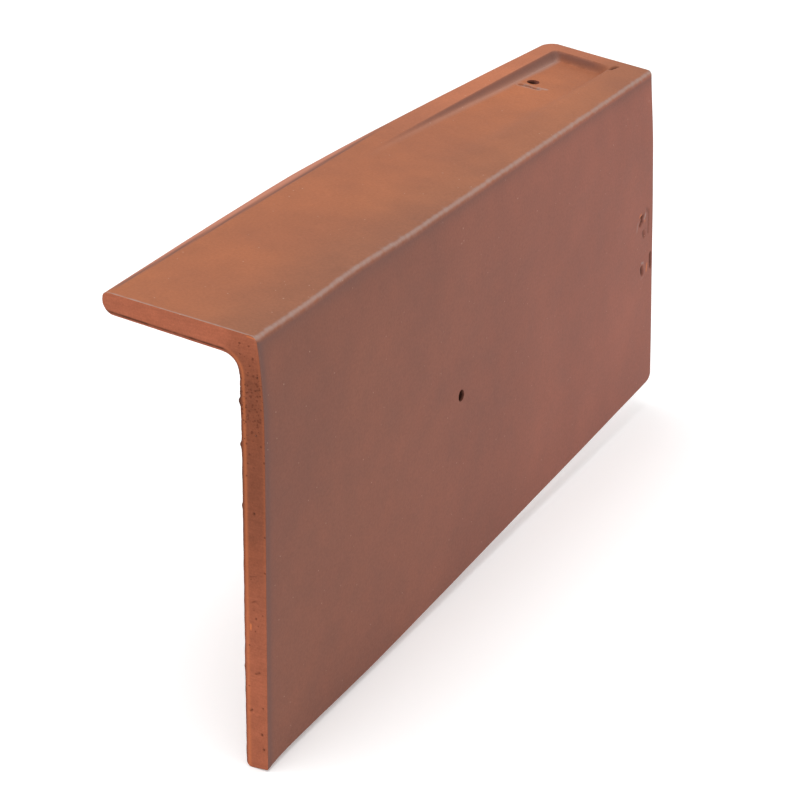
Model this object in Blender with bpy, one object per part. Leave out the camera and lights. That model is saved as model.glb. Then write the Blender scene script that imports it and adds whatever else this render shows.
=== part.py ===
"""Verge tile: one fired-clay angle with a narrow roof leg and a deep apron.

The tile runs along X from its wire-cut tail to its head. The apron hangs down from the arris
and faces -Y. The roof leg reaches back towards +Y and rises a little. The origin is on the
leg's underside, at the middle of the patch that lies on the roof.
"""

import math

import bmesh
import bpy
from mathutils import Matrix, Vector

MM = 0.001

# Overall run of the tile, measured along the arris.
LENGTH = 404 * MM

# Apron: how far it hangs below the arris. Its foot rises towards the head and droops at the tail,
# and the foot's back edge hangs lower than its face edge by the slant.
APRON_DEPTH_TAIL = 200.9 * MM
APRON_DEPTH_HEAD = 187.3 * MM
FOOT_LEVEL_RUN = 85 * MM
FOOT_RISE_POWER = 1.1
FOOT_DROOP = 2.2 * MM
FOOT_DROOP_RUN = 8 * MM
FOOT_SLANT = 1.3 * MM

# Shoulder: the apron's face swells forward of the arris over the first stretch of its drop.
SHOULDER_DEPTH = 2.8 * MM
SHOULDER_DROP = 45 * MM

# Roof leg: how far it reaches back from the arris. Its free edge is bowed.
LEG_WIDTH_TAIL = 74.6 * MM
LEG_WIDTH_BELLY = 79.7 * MM
LEG_WIDTH_HEAD = 67.4 * MM
BELLY_FROM_TAIL = 155 * MM
BOW_POWER = 1.4
LEG_RISE_ANGLE = math.radians(4.2)

# Wall of the leg at the arris and at its lip, and of the apron at the shoulder and at its foot.
ROOT_THICKNESS = 11.4 * MM
LIP_THICKNESS = 10 * MM
APRON_THICKNESS = 12.1 * MM
FOOT_THICKNESS = 11.7 * MM

# Rounding of the section's corners.
ARRIS_RADIUS = 2.5 * MM
INNER_FILLET = 8 * MM
LIP_TOP_RADIUS = 3 * MM
LIP_UNDER_RADIUS = 6 * MM
FOOT_FACE_RADIUS = 0.8 * MM
FOOT_BACK_RADIUS = 3 * MM

# Tail: the wire cut dips inwards below the arris and runs out again at the foot.
TAIL_DIP = 1.5 * MM
TAIL_DIP_BELOW_ARRIS = 55 * MM
TAIL_FOOT_OVERRUN = 5.3 * MM
TAIL_EDGE_RADIUS = 0.6 * MM

# Head: it dips inwards below the arris. Its free corners stand further out and are rounded.
HEAD_DIP = 2.2 * MM
HEAD_DIP_BELOW_ARRIS = 24 * MM
HEAD_FOOT_OVERRUN = 12.4 * MM
HEAD_LIP_OVERRUN = 9 * MM
HEAD_EDGE_RADIUS = 1.2 * MM
HEAD_LIP_CORNER_RADIUS = 8.5 * MM
HEAD_FOOT_CORNER_RADIUS = 6 * MM

# Lap recess in the leg's top: a ramp that deepens towards the head, inside a flush rim.
RECESS_FROM_TAIL = 198 * MM
RECESS_DEPTH = 5.2 * MM
RECESS_RAMP_POWER = 1.4
RECESS_SIDE_RIM_START = 14.6 * MM
RECESS_SIDE_RIM_HEAD = 11 * MM
RECESS_HEAD_RIM = 9.4 * MM
RECESS_HEAD_RIM_SPLAY = 2.5 * MM
RECESS_ARRIS_MARGIN = 19 * MM
RECESS_ARRIS_SLOPE_START = 16 * MM
RECESS_ARRIS_SLOPE_HEAD = 8 * MM
RECESS_CORNER_RADIUS = 4 * MM
RECESS_FILLET = 1.5 * MM

# Nail holes, one in each leg.
LEG_HOLE_DIAMETER = 6.8 * MM
LEG_HOLE_FROM_HEAD = 45.8 * MM
LEG_HOLE_FROM_ARRIS = 49.6 * MM
APRON_HOLE_DIAMETER = 5.6 * MM
APRON_HOLE_FROM_TAIL = 175.8 * MM
APRON_HOLE_BELOW_ARRIS = 98.4 * MM

# Seat patch on the leg's underside, which holds the origin.
SEAT_FROM_TAIL = 200 * MM
SEAT_FROM_ARRIS = 44 * MM

# How finely the curves are divided. The apron's ribs crowd together towards the arris.
APRON_RIBS = 14
APRON_RIB_CROWDING = 1.7
LEG_RIBS = 5
CORNER_STEPS = 5
RUN_STEPS = 24
TAIL_STEPS = 3
HEAD_STEPS = 7
RECESS_STEPS = 14
SLOPE_STEPS = 5
HOLE_SIDES = 32
SMALLEST_RADIUS = 0.2 * MM
SHARP_ANGLE = math.radians(35)

# Cutters stand clear of the clay by this much, and the recess starts this far above it.
CUT_CLEARANCE = 4 * MM
CUT_TOE = 0.15 * MM

CLAY_COLOUR = (0.41, 0.155, 0.096, 1.0)
CLAY_ROUGHNESS = 0.72


def clear_scene():
    for item in list(bpy.data.objects):
        bpy.data.objects.remove(item, do_unlink=True)


def new_collection(name):
    collection = bpy.data.collections.new(name)
    bpy.context.scene.collection.children.link(collection)
    return collection


def leg_top(reach):
    """Height of the leg's top plane at a distance from the arris."""
    return reach * math.tan(LEG_RISE_ANGLE)


def leg_underside(reach):
    """Height of the leg's underside plane, which closes on the top towards the lip."""
    thinning = (ROOT_THICKNESS - LIP_THICKNESS) * reach / LEG_WIDTH_BELLY
    return leg_top(reach) - (ROOT_THICKNESS - thinning) / math.cos(LEG_RISE_ANGLE)


def apron_back(drop):
    """Y of the apron's inner plane at a drop below the arris."""
    thinning = (APRON_THICKNESS - FOOT_THICKNESS) * drop / APRON_DEPTH_TAIL
    return APRON_THICKNESS - SHOULDER_DEPTH - thinning


def face_swell(drop):
    """How far the apron's face stands forward of the arris at a drop below it."""
    above = 1 - min(max(drop, 0) / SHOULDER_DROP, 1)
    return SHOULDER_DEPTH * (1 - above ** 2)


def seat_point():
    return Vector((SEAT_FROM_TAIL, SEAT_FROM_ARRIS, leg_underside(SEAT_FROM_ARRIS)))


def leg_width(run):
    """Bowed free edge: widest at the belly, narrower at both ends."""
    if run < BELLY_FROM_TAIL:
        share = 1 - max(run, 0) / BELLY_FROM_TAIL
        return LEG_WIDTH_BELLY - (LEG_WIDTH_BELLY - LEG_WIDTH_TAIL) * share ** BOW_POWER
    share = min((run - BELLY_FROM_TAIL) / (LENGTH - BELLY_FROM_TAIL), 1)
    return LEG_WIDTH_BELLY - (LEG_WIDTH_BELLY - LEG_WIDTH_HEAD) * share ** BOW_POWER


def apron_depth(run):
    """Even depth near the tail but for a droop at its tip, then a slow rise towards the head."""
    share = min(max((run - FOOT_LEVEL_RUN) / (LENGTH - FOOT_LEVEL_RUN), 0), 1)
    rise = (APRON_DEPTH_TAIL - APRON_DEPTH_HEAD) * share ** FOOT_RISE_POWER
    return APRON_DEPTH_TAIL - rise + FOOT_DROOP * math.exp(-max(run, 0) / FOOT_DROOP_RUN)


def end_dip(depth, below_arris, drop):
    """Soft dip of an end: deepest at one distance below the arris, gone towards the foot."""
    near = max(drop, 0) / below_arris
    return depth * near * math.exp(1 - near)


def tail_end(drop):
    """X of the wire cut: a dip below the arris, then out to the foot."""
    dip = end_dip(TAIL_DIP, TAIL_DIP_BELOW_ARRIS, drop)
    return dip - TAIL_FOOT_OVERRUN * max(drop, 0) / APRON_DEPTH_TAIL


def head_end(reach, drop):
    """X of the head: a dip of the apron's end, and both free corners beyond the arris."""
    across = max(reach, 0) / LEG_WIDTH_HEAD
    lip = HEAD_LIP_OVERRUN * across
    foot = HEAD_FOOT_OVERRUN * max(drop, 0) / APRON_DEPTH_HEAD
    dip = end_dip(HEAD_DIP, HEAD_DIP_BELOW_ARRIS, drop) * max(1 - across, 0)
    return LENGTH + max(lip, foot) - dip


def round_off(distance, radius):
    """How far a quarter round stands back at a distance from its end."""
    if distance >= radius:
        return 0.0
    return radius - math.sqrt(radius ** 2 - (radius - distance) ** 2)


def quarter_steps(radius, count):
    """Distances from an end that divide a quarter round evenly, from the end inwards."""
    return [radius * (1 - math.cos(math.pi / 2 * step / count)) for step in range(count + 1)]


def offset_corners(corners, inset):
    """Corners of a closed outline moved inwards by the same distance on every side."""
    moved = []
    count = len(corners)
    for index, corner in enumerate(corners):
        before = (corner - corners[index - 1]).normalized()
        after = (corners[(index + 1) % count] - corner).normalized()
        side_before = Vector((before.y, -before.x))
        side_after = Vector((after.y, -after.x))
        bisector = (side_before + side_after) / (1 + side_before.dot(side_after))
        moved.append(corner + bisector * inset)
    return moved


def fillet(before, corner, after, radius, steps):
    """Arc that rounds one corner, from the side of the point before to the side after."""
    to_before = (before - corner).normalized()
    to_after = (after - corner).normalized()
    half_angle = to_before.angle(to_after) / 2
    centre = corner + (to_before + to_after).normalized() * radius / math.sin(half_angle)
    start = corner + to_before * radius / math.tan(half_angle) - centre
    end = corner + to_after * radius / math.tan(half_angle) - centre
    sweep = start.angle_signed(end)
    return [centre + Matrix.Rotation(-sweep * step / steps, 2) @ start for step in range(steps + 1)]


def between(first, last, count, crowding=1.0):
    """Points strictly between two ends. Crowding above one moves them towards the last."""
    shares = [1 - (1 - step / (count + 1)) ** crowding for step in range(1, count + 1)]
    return [first.lerp(last, share) for share in shares]


def section_rails(width, depth, inset):
    """Face rail and back rail of one section, foot to lip, with as many points on each."""
    nose_slope = math.tan(LEG_RISE_ANGLE)
    nose_drop = leg_top(width) - leg_underside(width)
    corners = [
        Vector((0, -depth)),
        Vector((0, 0)),
        Vector((width, leg_top(width))),
        Vector((width + nose_drop * nose_slope, leg_underside(width + nose_drop * nose_slope))),
        Vector((apron_back(ROOT_THICKNESS), leg_underside(apron_back(ROOT_THICKNESS)))),
        Vector((apron_back(depth + FOOT_SLANT), -depth - FOOT_SLANT)),
    ]
    foot_face, arris, lip_top, lip_under, inner, foot_back = offset_corners(corners, inset)

    def eased(radius):
        return max(radius - inset, SMALLEST_RADIUS)

    foot_face_arc = fillet(foot_back, foot_face, arris, eased(FOOT_FACE_RADIUS), CORNER_STEPS)
    arris_arc = fillet(foot_face, arris, lip_top, eased(ARRIS_RADIUS), CORNER_STEPS)
    lip_top_arc = fillet(arris, lip_top, lip_under, eased(LIP_TOP_RADIUS), CORNER_STEPS)
    foot_back_arc = fillet(foot_face, foot_back, inner, eased(FOOT_BACK_RADIUS), CORNER_STEPS)
    inner_arc = fillet(foot_back, inner, lip_under, INNER_FILLET + inset, CORNER_STEPS)
    lip_under_arc = fillet(inner, lip_under, lip_top, eased(LIP_UNDER_RADIUS), CORNER_STEPS)

    face = list(foot_face_arc)
    face += between(foot_face_arc[-1], arris_arc[0], APRON_RIBS, APRON_RIB_CROWDING)
    face += arris_arc
    face += between(arris_arc[-1], lip_top_arc[0], LEG_RIBS)
    face += lip_top_arc
    face = [Vector((point.x - face_swell(-point.y), point.y)) for point in face]

    back = list(foot_back_arc)
    back += between(foot_back_arc[-1], inner_arc[0], APRON_RIBS, APRON_RIB_CROWDING)
    back += inner_arc
    back += between(inner_arc[-1], lip_under_arc[0], LEG_RIBS)
    back += lip_under_arc
    return face, back


def run_stations():
    """Stations along the run, from tail to head, close together where the ends are rounded."""
    tail = quarter_steps(TAIL_EDGE_RADIUS, TAIL_STEPS)
    largest = max(HEAD_LIP_CORNER_RADIUS, HEAD_FOOT_CORNER_RADIUS)
    head = [LENGTH - distance for distance in reversed(quarter_steps(largest, HEAD_STEPS))]
    first = tail[-1]
    last = head[0]
    middle = [first + (last - first) * step / RUN_STEPS for step in range(1, RUN_STEPS)]
    return tail + middle + head


def skewed(run, tail, head):
    """X of a station once both ends have their own slant."""
    return run + tail * (1 - run / LENGTH) + (head - LENGTH) * run / LENGTH


def tile_section(run):
    """Both rails of the section at one station of the run, as points in space."""
    from_head = LENGTH - run
    width = leg_width(run) - round_off(from_head, HEAD_LIP_CORNER_RADIUS)
    depth = apron_depth(run) - round_off(from_head, HEAD_FOOT_CORNER_RADIUS)
    inset = round_off(from_head, HEAD_EDGE_RADIUS) + round_off(run, TAIL_EDGE_RADIUS)
    rails = []
    for rail in section_rails(width, depth, inset):
        points = []
        for across in rail:
            tail = tail_end(-across.y)
            head = head_end(across.x, -across.y)
            points.append(Vector((skewed(run, tail, head), across.x, across.y)))
        rails.append(points)
    return rails


def loft(name, sections, collection):
    """Closed solid through sections that each have a face rail and a back rail."""
    mesh = bpy.data.meshes.new(name)
    shape = bmesh.new()
    rings = []
    for face, back in sections:
        face_row = [shape.verts.new(point) for point in face]
        back_row = [shape.verts.new(point) for point in back]
        rings.append((face_row, back_row))
    for (face_a, back_a), (face_b, back_b) in zip(rings, rings[1:]):
        loop_a = face_a + back_a[::-1]
        loop_b = face_b + back_b[::-1]
        for index, corner in enumerate(loop_a):
            shape.faces.new((loop_a[index - 1], corner, loop_b[index], loop_b[index - 1]))
    for face_row, back_row in (rings[0], rings[-1]):
        for index in range(len(face_row) - 1):
            shape.faces.new(
                (face_row[index], face_row[index + 1], back_row[index + 1], back_row[index]))
    bmesh.ops.recalc_face_normals(shape, faces=shape.faces)
    shape.to_mesh(mesh)
    shape.free()
    solid = bpy.data.objects.new(name, mesh)
    collection.objects.link(solid)
    return solid


def recess_depth(run, head):
    """Depth of the recess floor: a soft ramp from nothing to the full depth."""
    share = min(max((run - RECESS_FROM_TAIL) / (head - RECESS_FROM_TAIL), 0), 1)
    ramp = math.sin(share * math.pi / 2) ** RECESS_RAMP_POWER
    return (RECESS_DEPTH + CUT_TOE) * ramp - CUT_TOE


def recess_section(run, head):
    """Cutter section across the leg: a floor with a fillet, a wall and a slope to the arris."""
    from_head = head - run
    share = (run - RECESS_FROM_TAIL) / (head - RECESS_FROM_TAIL)
    rim = RECESS_SIDE_RIM_START + (RECESS_SIDE_RIM_HEAD - RECESS_SIDE_RIM_START) * share
    slope = RECESS_ARRIS_SLOPE_START + (RECESS_ARRIS_SLOPE_HEAD - RECESS_ARRIS_SLOPE_START) * share
    wall = leg_width(run) - rim - round_off(from_head, RECESS_CORNER_RADIUS)
    depth = recess_depth(run, head) - round_off(from_head, RECESS_FILLET)
    fillet_size = min(RECESS_FILLET, max(depth, SMALLEST_RADIUS))

    floor = []
    for step in range(SLOPE_STEPS + 1):
        part = step / SLOPE_STEPS
        height = CUT_TOE - (CUT_TOE + depth) * part
        floor.append(Vector((RECESS_ARRIS_MARGIN + slope * part, height)))
    for step in range(CORNER_STEPS + 1):
        turn = math.pi / 2 * step / CORNER_STEPS
        across = wall - fillet_size + fillet_size * math.sin(turn)
        floor.append(Vector((across, -depth + fillet_size * (1 - math.cos(turn)))))
    floor.append(Vector((wall, CUT_CLEARANCE)))
    lid = [Vector((point.x, CUT_CLEARANCE * 2)) for point in floor]
    return lid, floor


def recess_cutter(collection):
    """Solid that the lap recess is cut with. Its end follows the slant of the head."""
    head = LENGTH - RECESS_HEAD_RIM
    ends = [head - distance for distance in reversed(quarter_steps(RECESS_CORNER_RADIUS, HEAD_STEPS))]
    first = RECESS_FROM_TAIL
    stations = [first + (ends[0] - first) * step / RECESS_STEPS for step in range(RECESS_STEPS)]
    sections = []
    for run in stations + ends:
        rails = []
        for rail in recess_section(run, head):
            points = []
            for across in rail:
                share = (run - first) / (head - first)
                from_corner = (leg_width(run) - across.x) / LEG_WIDTH_HEAD
                slant = head_end(across.x, 0) - LENGTH - RECESS_HEAD_RIM_SPLAY * from_corner
                height = leg_top(across.x) + across.y
                points.append(Vector((run + slant * share, across.x, height)))
            rails.append(points)
        sections.append(rails)
    return loft("recess_cutter", sections, collection)


def hole_cutter(name, diameter, place, axis, collection):
    """Round cutter through one wall, longer than the clay is thick."""
    mesh = bpy.data.meshes.new(name)
    shape = bmesh.new()
    bmesh.ops.create_cone(
        shape, cap_ends=True, segments=HOLE_SIDES, radius1=diameter / 2, radius2=diameter / 2,
        depth=APRON_THICKNESS + CUT_CLEARANCE * 2)
    shape.to_mesh(mesh)
    shape.free()
    cutter = bpy.data.objects.new(name, mesh)
    cutter.location = place
    cutter.rotation_mode = "QUATERNION"
    cutter.rotation_quaternion = axis.to_track_quat("Z", "Y")
    collection.objects.link(cutter)
    return cutter


def leg_hole_cutter(collection):
    run = LENGTH - LEG_HOLE_FROM_HEAD
    reach = LEG_HOLE_FROM_ARRIS
    place = Vector((run, reach, leg_top(reach) - ROOT_THICKNESS / 2))
    axis = Vector((0, -math.sin(LEG_RISE_ANGLE), math.cos(LEG_RISE_ANGLE)))
    return hole_cutter("leg_hole_cutter", LEG_HOLE_DIAMETER, place, axis, collection)


def apron_hole_cutter(collection):
    drop = APRON_HOLE_BELOW_ARRIS
    middle_of_wall = (apron_back(drop) - face_swell(drop)) / 2
    place = Vector((APRON_HOLE_FROM_TAIL, middle_of_wall, -drop))
    return hole_cutter("apron_hole_cutter", APRON_HOLE_DIAMETER, place, Vector((0, 1, 0)), collection)


def cut(solid, cutter):
    """Take the cutter's shape out of the solid."""
    cutter.hide_render = True
    cutter.display_type = "WIRE"
    boolean = solid.modifiers.new(cutter.name, "BOOLEAN")
    boolean.operation = "DIFFERENCE"
    boolean.solver = "EXACT"
    boolean.object = cutter


def clay_material():
    material = bpy.data.materials.new("fired_clay")
    material.use_nodes = True
    shader = material.node_tree.nodes["Principled BSDF"]
    shader.inputs["Base Color"].default_value = CLAY_COLOUR
    shader.inputs["Roughness"].default_value = CLAY_ROUGHNESS
    shader.inputs["Metallic"].default_value = 0.0
    material.diffuse_color = CLAY_COLOUR
    return material


def build_tile(parts, cutters):
    sections = [tile_section(run) for run in run_stations()]
    tile = loft("verge_tile", sections, parts)
    tile.data.materials.append(clay_material())
    tile.data.shade_smooth()
    tile.data.set_sharp_from_angle(angle=SHARP_ANGLE)
    seat = seat_point()
    tile.location = -seat
    for cutter in (recess_cutter(cutters), leg_hole_cutter(cutters), apron_hole_cutter(cutters)):
        cutter.location -= seat
        cut(tile, cutter)
    return tile


def main():
    clear_scene()
    parts = new_collection("verge_tile")
    cutters = new_collection("cutters")
    build_tile(parts, cutters)


main()
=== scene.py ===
"""Verge tile, dressed: fired clay with a wire-cut tail, a worn arris, a lap recess and nail holes.

The clay piece takes the place of the node verge_tile. Its form is worked out in the tile's own
coordinates, in metres: X from the tail to the head, Y back from the arris along the roof leg,
Z up from the arris. At the end it is moved so that the roof seat is the origin.
"""

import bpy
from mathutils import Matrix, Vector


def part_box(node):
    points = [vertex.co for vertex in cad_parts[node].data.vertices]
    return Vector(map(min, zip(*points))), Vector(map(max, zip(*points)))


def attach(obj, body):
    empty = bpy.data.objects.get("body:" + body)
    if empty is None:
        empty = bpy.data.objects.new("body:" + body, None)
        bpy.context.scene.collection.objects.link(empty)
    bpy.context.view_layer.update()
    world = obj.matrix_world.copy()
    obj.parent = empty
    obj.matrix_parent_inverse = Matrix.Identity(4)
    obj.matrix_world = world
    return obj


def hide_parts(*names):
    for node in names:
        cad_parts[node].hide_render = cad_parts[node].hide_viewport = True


bl_info = {
    "name": "Verge Tile",
    "version": (1, 0, 0),
    "blender": (4, 5, 0),
    "location": "3D View > Sidebar > Verge Tile",
    "description": "Builds a fired-clay verge tile around its packed solid, and a plain stage",
    "category": "Object",
}

import math
from collections import namedtuple

import bmesh
import bpy
import numpy as np
from mathutils import Matrix, Vector, noise

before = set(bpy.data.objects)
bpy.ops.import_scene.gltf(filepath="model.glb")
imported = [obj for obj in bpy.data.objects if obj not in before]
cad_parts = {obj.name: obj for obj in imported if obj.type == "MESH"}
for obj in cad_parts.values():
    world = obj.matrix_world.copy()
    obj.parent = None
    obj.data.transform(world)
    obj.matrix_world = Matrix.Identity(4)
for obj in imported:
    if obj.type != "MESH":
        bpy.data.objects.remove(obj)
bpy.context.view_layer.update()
TILE_NODE = "verge_tile"
TILE_LOW, TILE_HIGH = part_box(TILE_NODE)

MM = 0.001

# Shoulder: the apron's face swells forward of the arris over the first stretch of its drop.
SHOULDER_DEPTH = 2.5 * MM
SHOULDER_DROP = 45 * MM

# Bow of the leg's free edge.
BELLY_FROM_TAIL = 155 * MM
BOW_POWER = 1.4

# Apron's foot: it rises towards the head and droops at the tail, and its back edge hangs lower.
FOOT_LEVEL_RUN = 85 * MM
FOOT_RISE_POWER = 1.1
FOOT_DROOP = 2.2 * MM
FOOT_DROOP_RUN = 8 * MM
FOOT_SLANT = 1.3 * MM

# Apron's inner plane, behind the arris and at the foot.
WALL_BEHIND_ARRIS = 9.3 * MM
WALL_THINNING = 0.4 * MM

# Rounding of the section's corners.
ARRIS_RADIUS = 2.5 * MM
INNER_FILLET = 8 * MM
LIP_TOP_RADIUS = 3 * MM
LIP_UNDER_RADIUS = 6 * MM
FOOT_FACE_RADIUS = 0.8 * MM
FOOT_BACK_RADIUS = 3 * MM
SMALLEST_RADIUS = 0.2 * MM

# Tail: the wire cut dips inwards below the arris and runs out again at the foot.
TAIL_DIP = 1.5 * MM
TAIL_DIP_BELOW_ARRIS = 55 * MM
TAIL_FOOT_OVERRUN = 5.3 * MM
TAIL_EDGE_RADIUS = 0.6 * MM

# Head: it dips inwards below the arris. Its free corners stand further out and are rounded.
HEAD_DIP = 2.2 * MM
HEAD_DIP_BELOW_ARRIS = 24 * MM
HEAD_FOOT_OVERRUN = 12.4 * MM
HEAD_LIP_OVERRUN = 9 * MM
HEAD_EDGE_RADIUS = 1.2 * MM
HEAD_LIP_CORNER_RADIUS = 8.5 * MM
HEAD_FOOT_CORNER_RADIUS = 6 * MM

# Lap recess in the leg's top: a ramp that deepens towards the head, inside a flush rim.
RECESS_FROM_TAIL = 198 * MM
RECESS_RAMP_POWER = 1.4
RECESS_SIDE_RIM_START = 14.6 * MM
RECESS_SIDE_RIM_HEAD = 11 * MM
RECESS_HEAD_RIM = 9.4 * MM
RECESS_HEAD_RIM_SPLAY = 2.5 * MM
RECESS_ARRIS_MARGIN = 19 * MM
RECESS_ARRIS_SLOPE_START = 16 * MM
RECESS_ARRIS_SLOPE_HEAD = 8 * MM
RECESS_CORNER_RADIUS = 4 * MM
RECESS_WALL_RUN = 2.2 * MM
RECESS_HEAD_WALL_RUN = 3.6 * MM
RECESS_TONE_RISE = 2

# Crease: a straight drag line along the leg's free edge, with the rounded lip outside it. The crease is
# painted darker as painted shade in its groove, and the lip lighter as a painted highlight.
CREASE_AT_TAIL = 72.4 * MM
CREASE_AT_FADE = 74 * MM
CREASE_FADE_FROM_TAIL = 205 * MM
CREASE_START_RUN = 12 * MM
CREASE_FADE_RUN = 48 * MM
CREASE_HALF_WIDTH = 0.8 * MM
CREASE_DEPTH = 0.45 * MM

# Arris hump: a slight handmade rise of the arris near the tail.
HUMP_HEIGHT = 1.2 * MM
HUMP_FROM_TAIL = 85 * MM
HUMP_HALF_LENGTH = 48 * MM
HUMP_REACH = 30 * MM

# Nail holes, one in each leg.
LEG_HOLE_FROM_HEAD = 45.8 * MM
LEG_HOLE_FROM_ARRIS = 49.6 * MM
APRON_HOLE_FROM_TAIL = 175.8 * MM
APRON_HOLE_BELOW_ARRIS = 98.4 * MM
HOLE_SIDES = 40
HOLE_RINGS = 18
HOLE_ROUGHNESS = 0.35 * MM
# Painted shade inside the nail holes: where it starts, how deep it takes to darken, and the side of the leg
# hole that the light reaches.
HOLE_SHADE_FROM = 0.2 * MM
HOLE_SHADE_BY = 1.5 * MM
HOLE_LIT_SIDE = (0.47, -0.88)
HOLE_LIT_SHARE = 0.95

# Seat patch on the leg's underside, which holds the origin.
SEAT_FROM_TAIL = 200 * MM
SEAT_FROM_ARRIS = 44 * MM

# How faces are told apart: by the lean of their normals and their place under the leg's top.
FACING_UP = 0.6
FACING_SIDE = 0.5
FACING_TAIL = -0.75
TOP_SKIN = 0.6 * MM
LEG_SKIN_SHARE = 0.7

# Section of a worn mark, in half widths: where the bowl ends and where its lip stands.
BOWL_END = 1.3
LIP_PLACE = 1.7
LIP_HALF_WIDTH = 0.45

# Burr along the inner edge of the wire cut: nubs of dragged clay, painted shade right at the edge, and a
# painted highlight band inside them, which also runs faintly along the face edge; a stained band lies above
# the underside.
RAGGED_RUN = 2 * MM
UNDERSIDE_RAGGED_SHARE = 0.4
NUB_HALF_LENGTH = 1.4 * MM
CUT_BURR_SHADE_WIDTH = 1.3 * MM
CUT_HIGHLIGHT_INSIDE = 2.0 * MM
CUT_HIGHLIGHT_HALF_WIDTH = 0.75 * MM
CUT_FACE_HIGHLIGHT_SHARE = 0.3
UNDERSIDE_STAIN_ABOVE = 1.5 * MM
UNDERSIDE_STAIN_HALF_WIDTH = 0.5 * MM

# Stipple of the wire cut: noise above a level, and weaker outside the torn band.
STIPPLE_LEVEL = 0.5
STIPPLE_ELSEWHERE = 0.15

# Torn band of the wire cut, and the stretch of it that is darker, from near the arris and fading out
# towards the foot, as drops below the arris.
TORN_BAND_DROP = 29 * MM
TORN_BAND_HALF = 14 * MM
CUT_SHADE_FROM = -6 * MM
CUT_SHADE_FULL = 24 * MM
CUT_SHADE_FADES = 70 * MM
CUT_SHADE_GONE = 150 * MM
CUT_SHADE_LEAST = 0.26

# Wear, tones, painted shade and painted highlights on the pressed faces beside the edges.
ARRIS_WEAR_REACH = 1.75 * MM
ARRIS_SHADE_DROP = 2.8 * MM
ARRIS_SHADE_HALF = 4 * MM
TAIL_EDGE_WEAR_REACH = 1.0 * MM
TAIL_EDGE_WEAR_SHARE = 0.9
LIP_HIGHLIGHT_RUN = 1.2 * MM
# Painted shadow: a dark line on the apron's face along the tail edge. Beside it, a greyer strip darkens
# towards that edge.
FACE_EDGE_SHADE_AT = 1.9 * MM
FACE_EDGE_SHADE_SPREAD = 1.5 * MM
FACE_EDGE_STRIP = 6 * MM
ARRIS_BROWN_REACH = 30 * MM
# Strength of the painted shade on the recess wall.
WALL_SHADE_PEAK = 2.6
RECESS_BAND_FROM_WALL = 2.5 * MM
RECESS_BAND_HALF = 1.7 * MM

# How finely the form is divided before the worn places are refined.
APRON_RIBS = 50
APRON_RIB_CROWDING = 1.25
LEG_RIBS = 20
WALL_RIBS = 12
WALL_ZONE_IN = 3.2 * MM
WALL_ZONE_OUT = 1.2 * MM
RIM_RIBS = 9
CORNER_STEPS = 6
CAP_COLUMNS = 14
TAIL_STEPS = 3
TAIL_ZONE = 6 * MM
TAIL_ZONE_STEPS = 5
RUN_STEP = 3 * MM
HEAD_ZONE = 26 * MM
HEAD_ZONE_STEP = 0.6 * MM
HEAD_CORNER_STEPS = 7
SHARP_ANGLE = math.radians(38)

# Places that are divided again, down to these lengths.
CUT_FACE_DETAIL = 0.55 * MM
SCAR_DETAIL = 0.7 * MM
HOLE_DETAIL = 0.6 * MM
HOLE_ZONE = 8 * MM
GOUGE_ZONE = 16 * MM
SCAR_ZONE_START = 380 * MM
SCAR_ZONE_TOP = 74 * MM
SCAR_ZONE_BOTTOM = 120 * MM
REFINE_ROUNDS = 3

# A worn mark: path on its face, half width, depth, lip, how strong the painted shade in its hollow is, and
# how pale its raised part is, partly a painted highlight.
Mark = namedtuple("Mark", "path half_width depth lip dark pale")


def in_mm(path):
    """Pairs of millimetres, in metres."""
    return tuple((first * MM, second * MM) for first, second in path)


def mark(*path, wide, deep, lip=0.0, dark=0.0, pale=0.0):
    """A worn mark from millimetres: places along its path, half width, depth and lip."""
    return Mark(in_mm(path), wide * MM, deep * MM, lip * MM, dark, pale)


# Marks on the apron's face, at places of run and height.
APRON_MARKS = (
    mark((390.6, -84.4), (392.6, -81.6), (393.6, -80.4), wide=1.3, deep=1.5, dark=1.0),
    mark((391.4, -80.2), (393.4, -83.4), wide=0.9, deep=0.9, dark=0.8),
    mark((395.6, -82.0), (397.0, -80.0), wide=1.1, deep=-0.3, pale=0.8),
    mark((385.6, -86.2), (386.6, -82.6), wide=1.4, deep=-0.2, pale=0.3),
    mark((399.0, -77.6), (401.8, -80.2), (402.2, -92.0), wide=1.5, deep=0.4, dark=0.3),
    mark((395.6, -90.2), (396.4, -92.4), wide=1.8, deep=0.8, dark=0.5),
    mark((395.0, -111.8), (396.0, -114.6), wide=1.7, deep=1.7, lip=0.2, dark=1.0, pale=0.1),
    mark((394.2, -108.2), (396.8, -108.8), wide=0.8, deep=-0.2, pale=0.7),
    mark((407.4, -107.4), (408.0, -114.2), wide=1.8, deep=1.6, dark=0.9),
)

# Marks on the leg's top, at places of run and reach.
LEG_MARKS = (
    mark((350.2, 52.6), (349.7, 49.0), wide=1.5, deep=1.7, lip=0.2, dark=1.0, pale=0.3),
    mark((349.7, 50.0), (349.2, 42.3), wide=1.1, deep=1.0, lip=0.3, dark=1.0, pale=0.6),
    mark((350.6, 42.6), (351.4, 38.6), wide=1.5, deep=-0.2, pale=0.7),
    mark((391.2, 19.6), (397.2, 18.2), wide=1.3, deep=1.7, dark=1.0),
)

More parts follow.
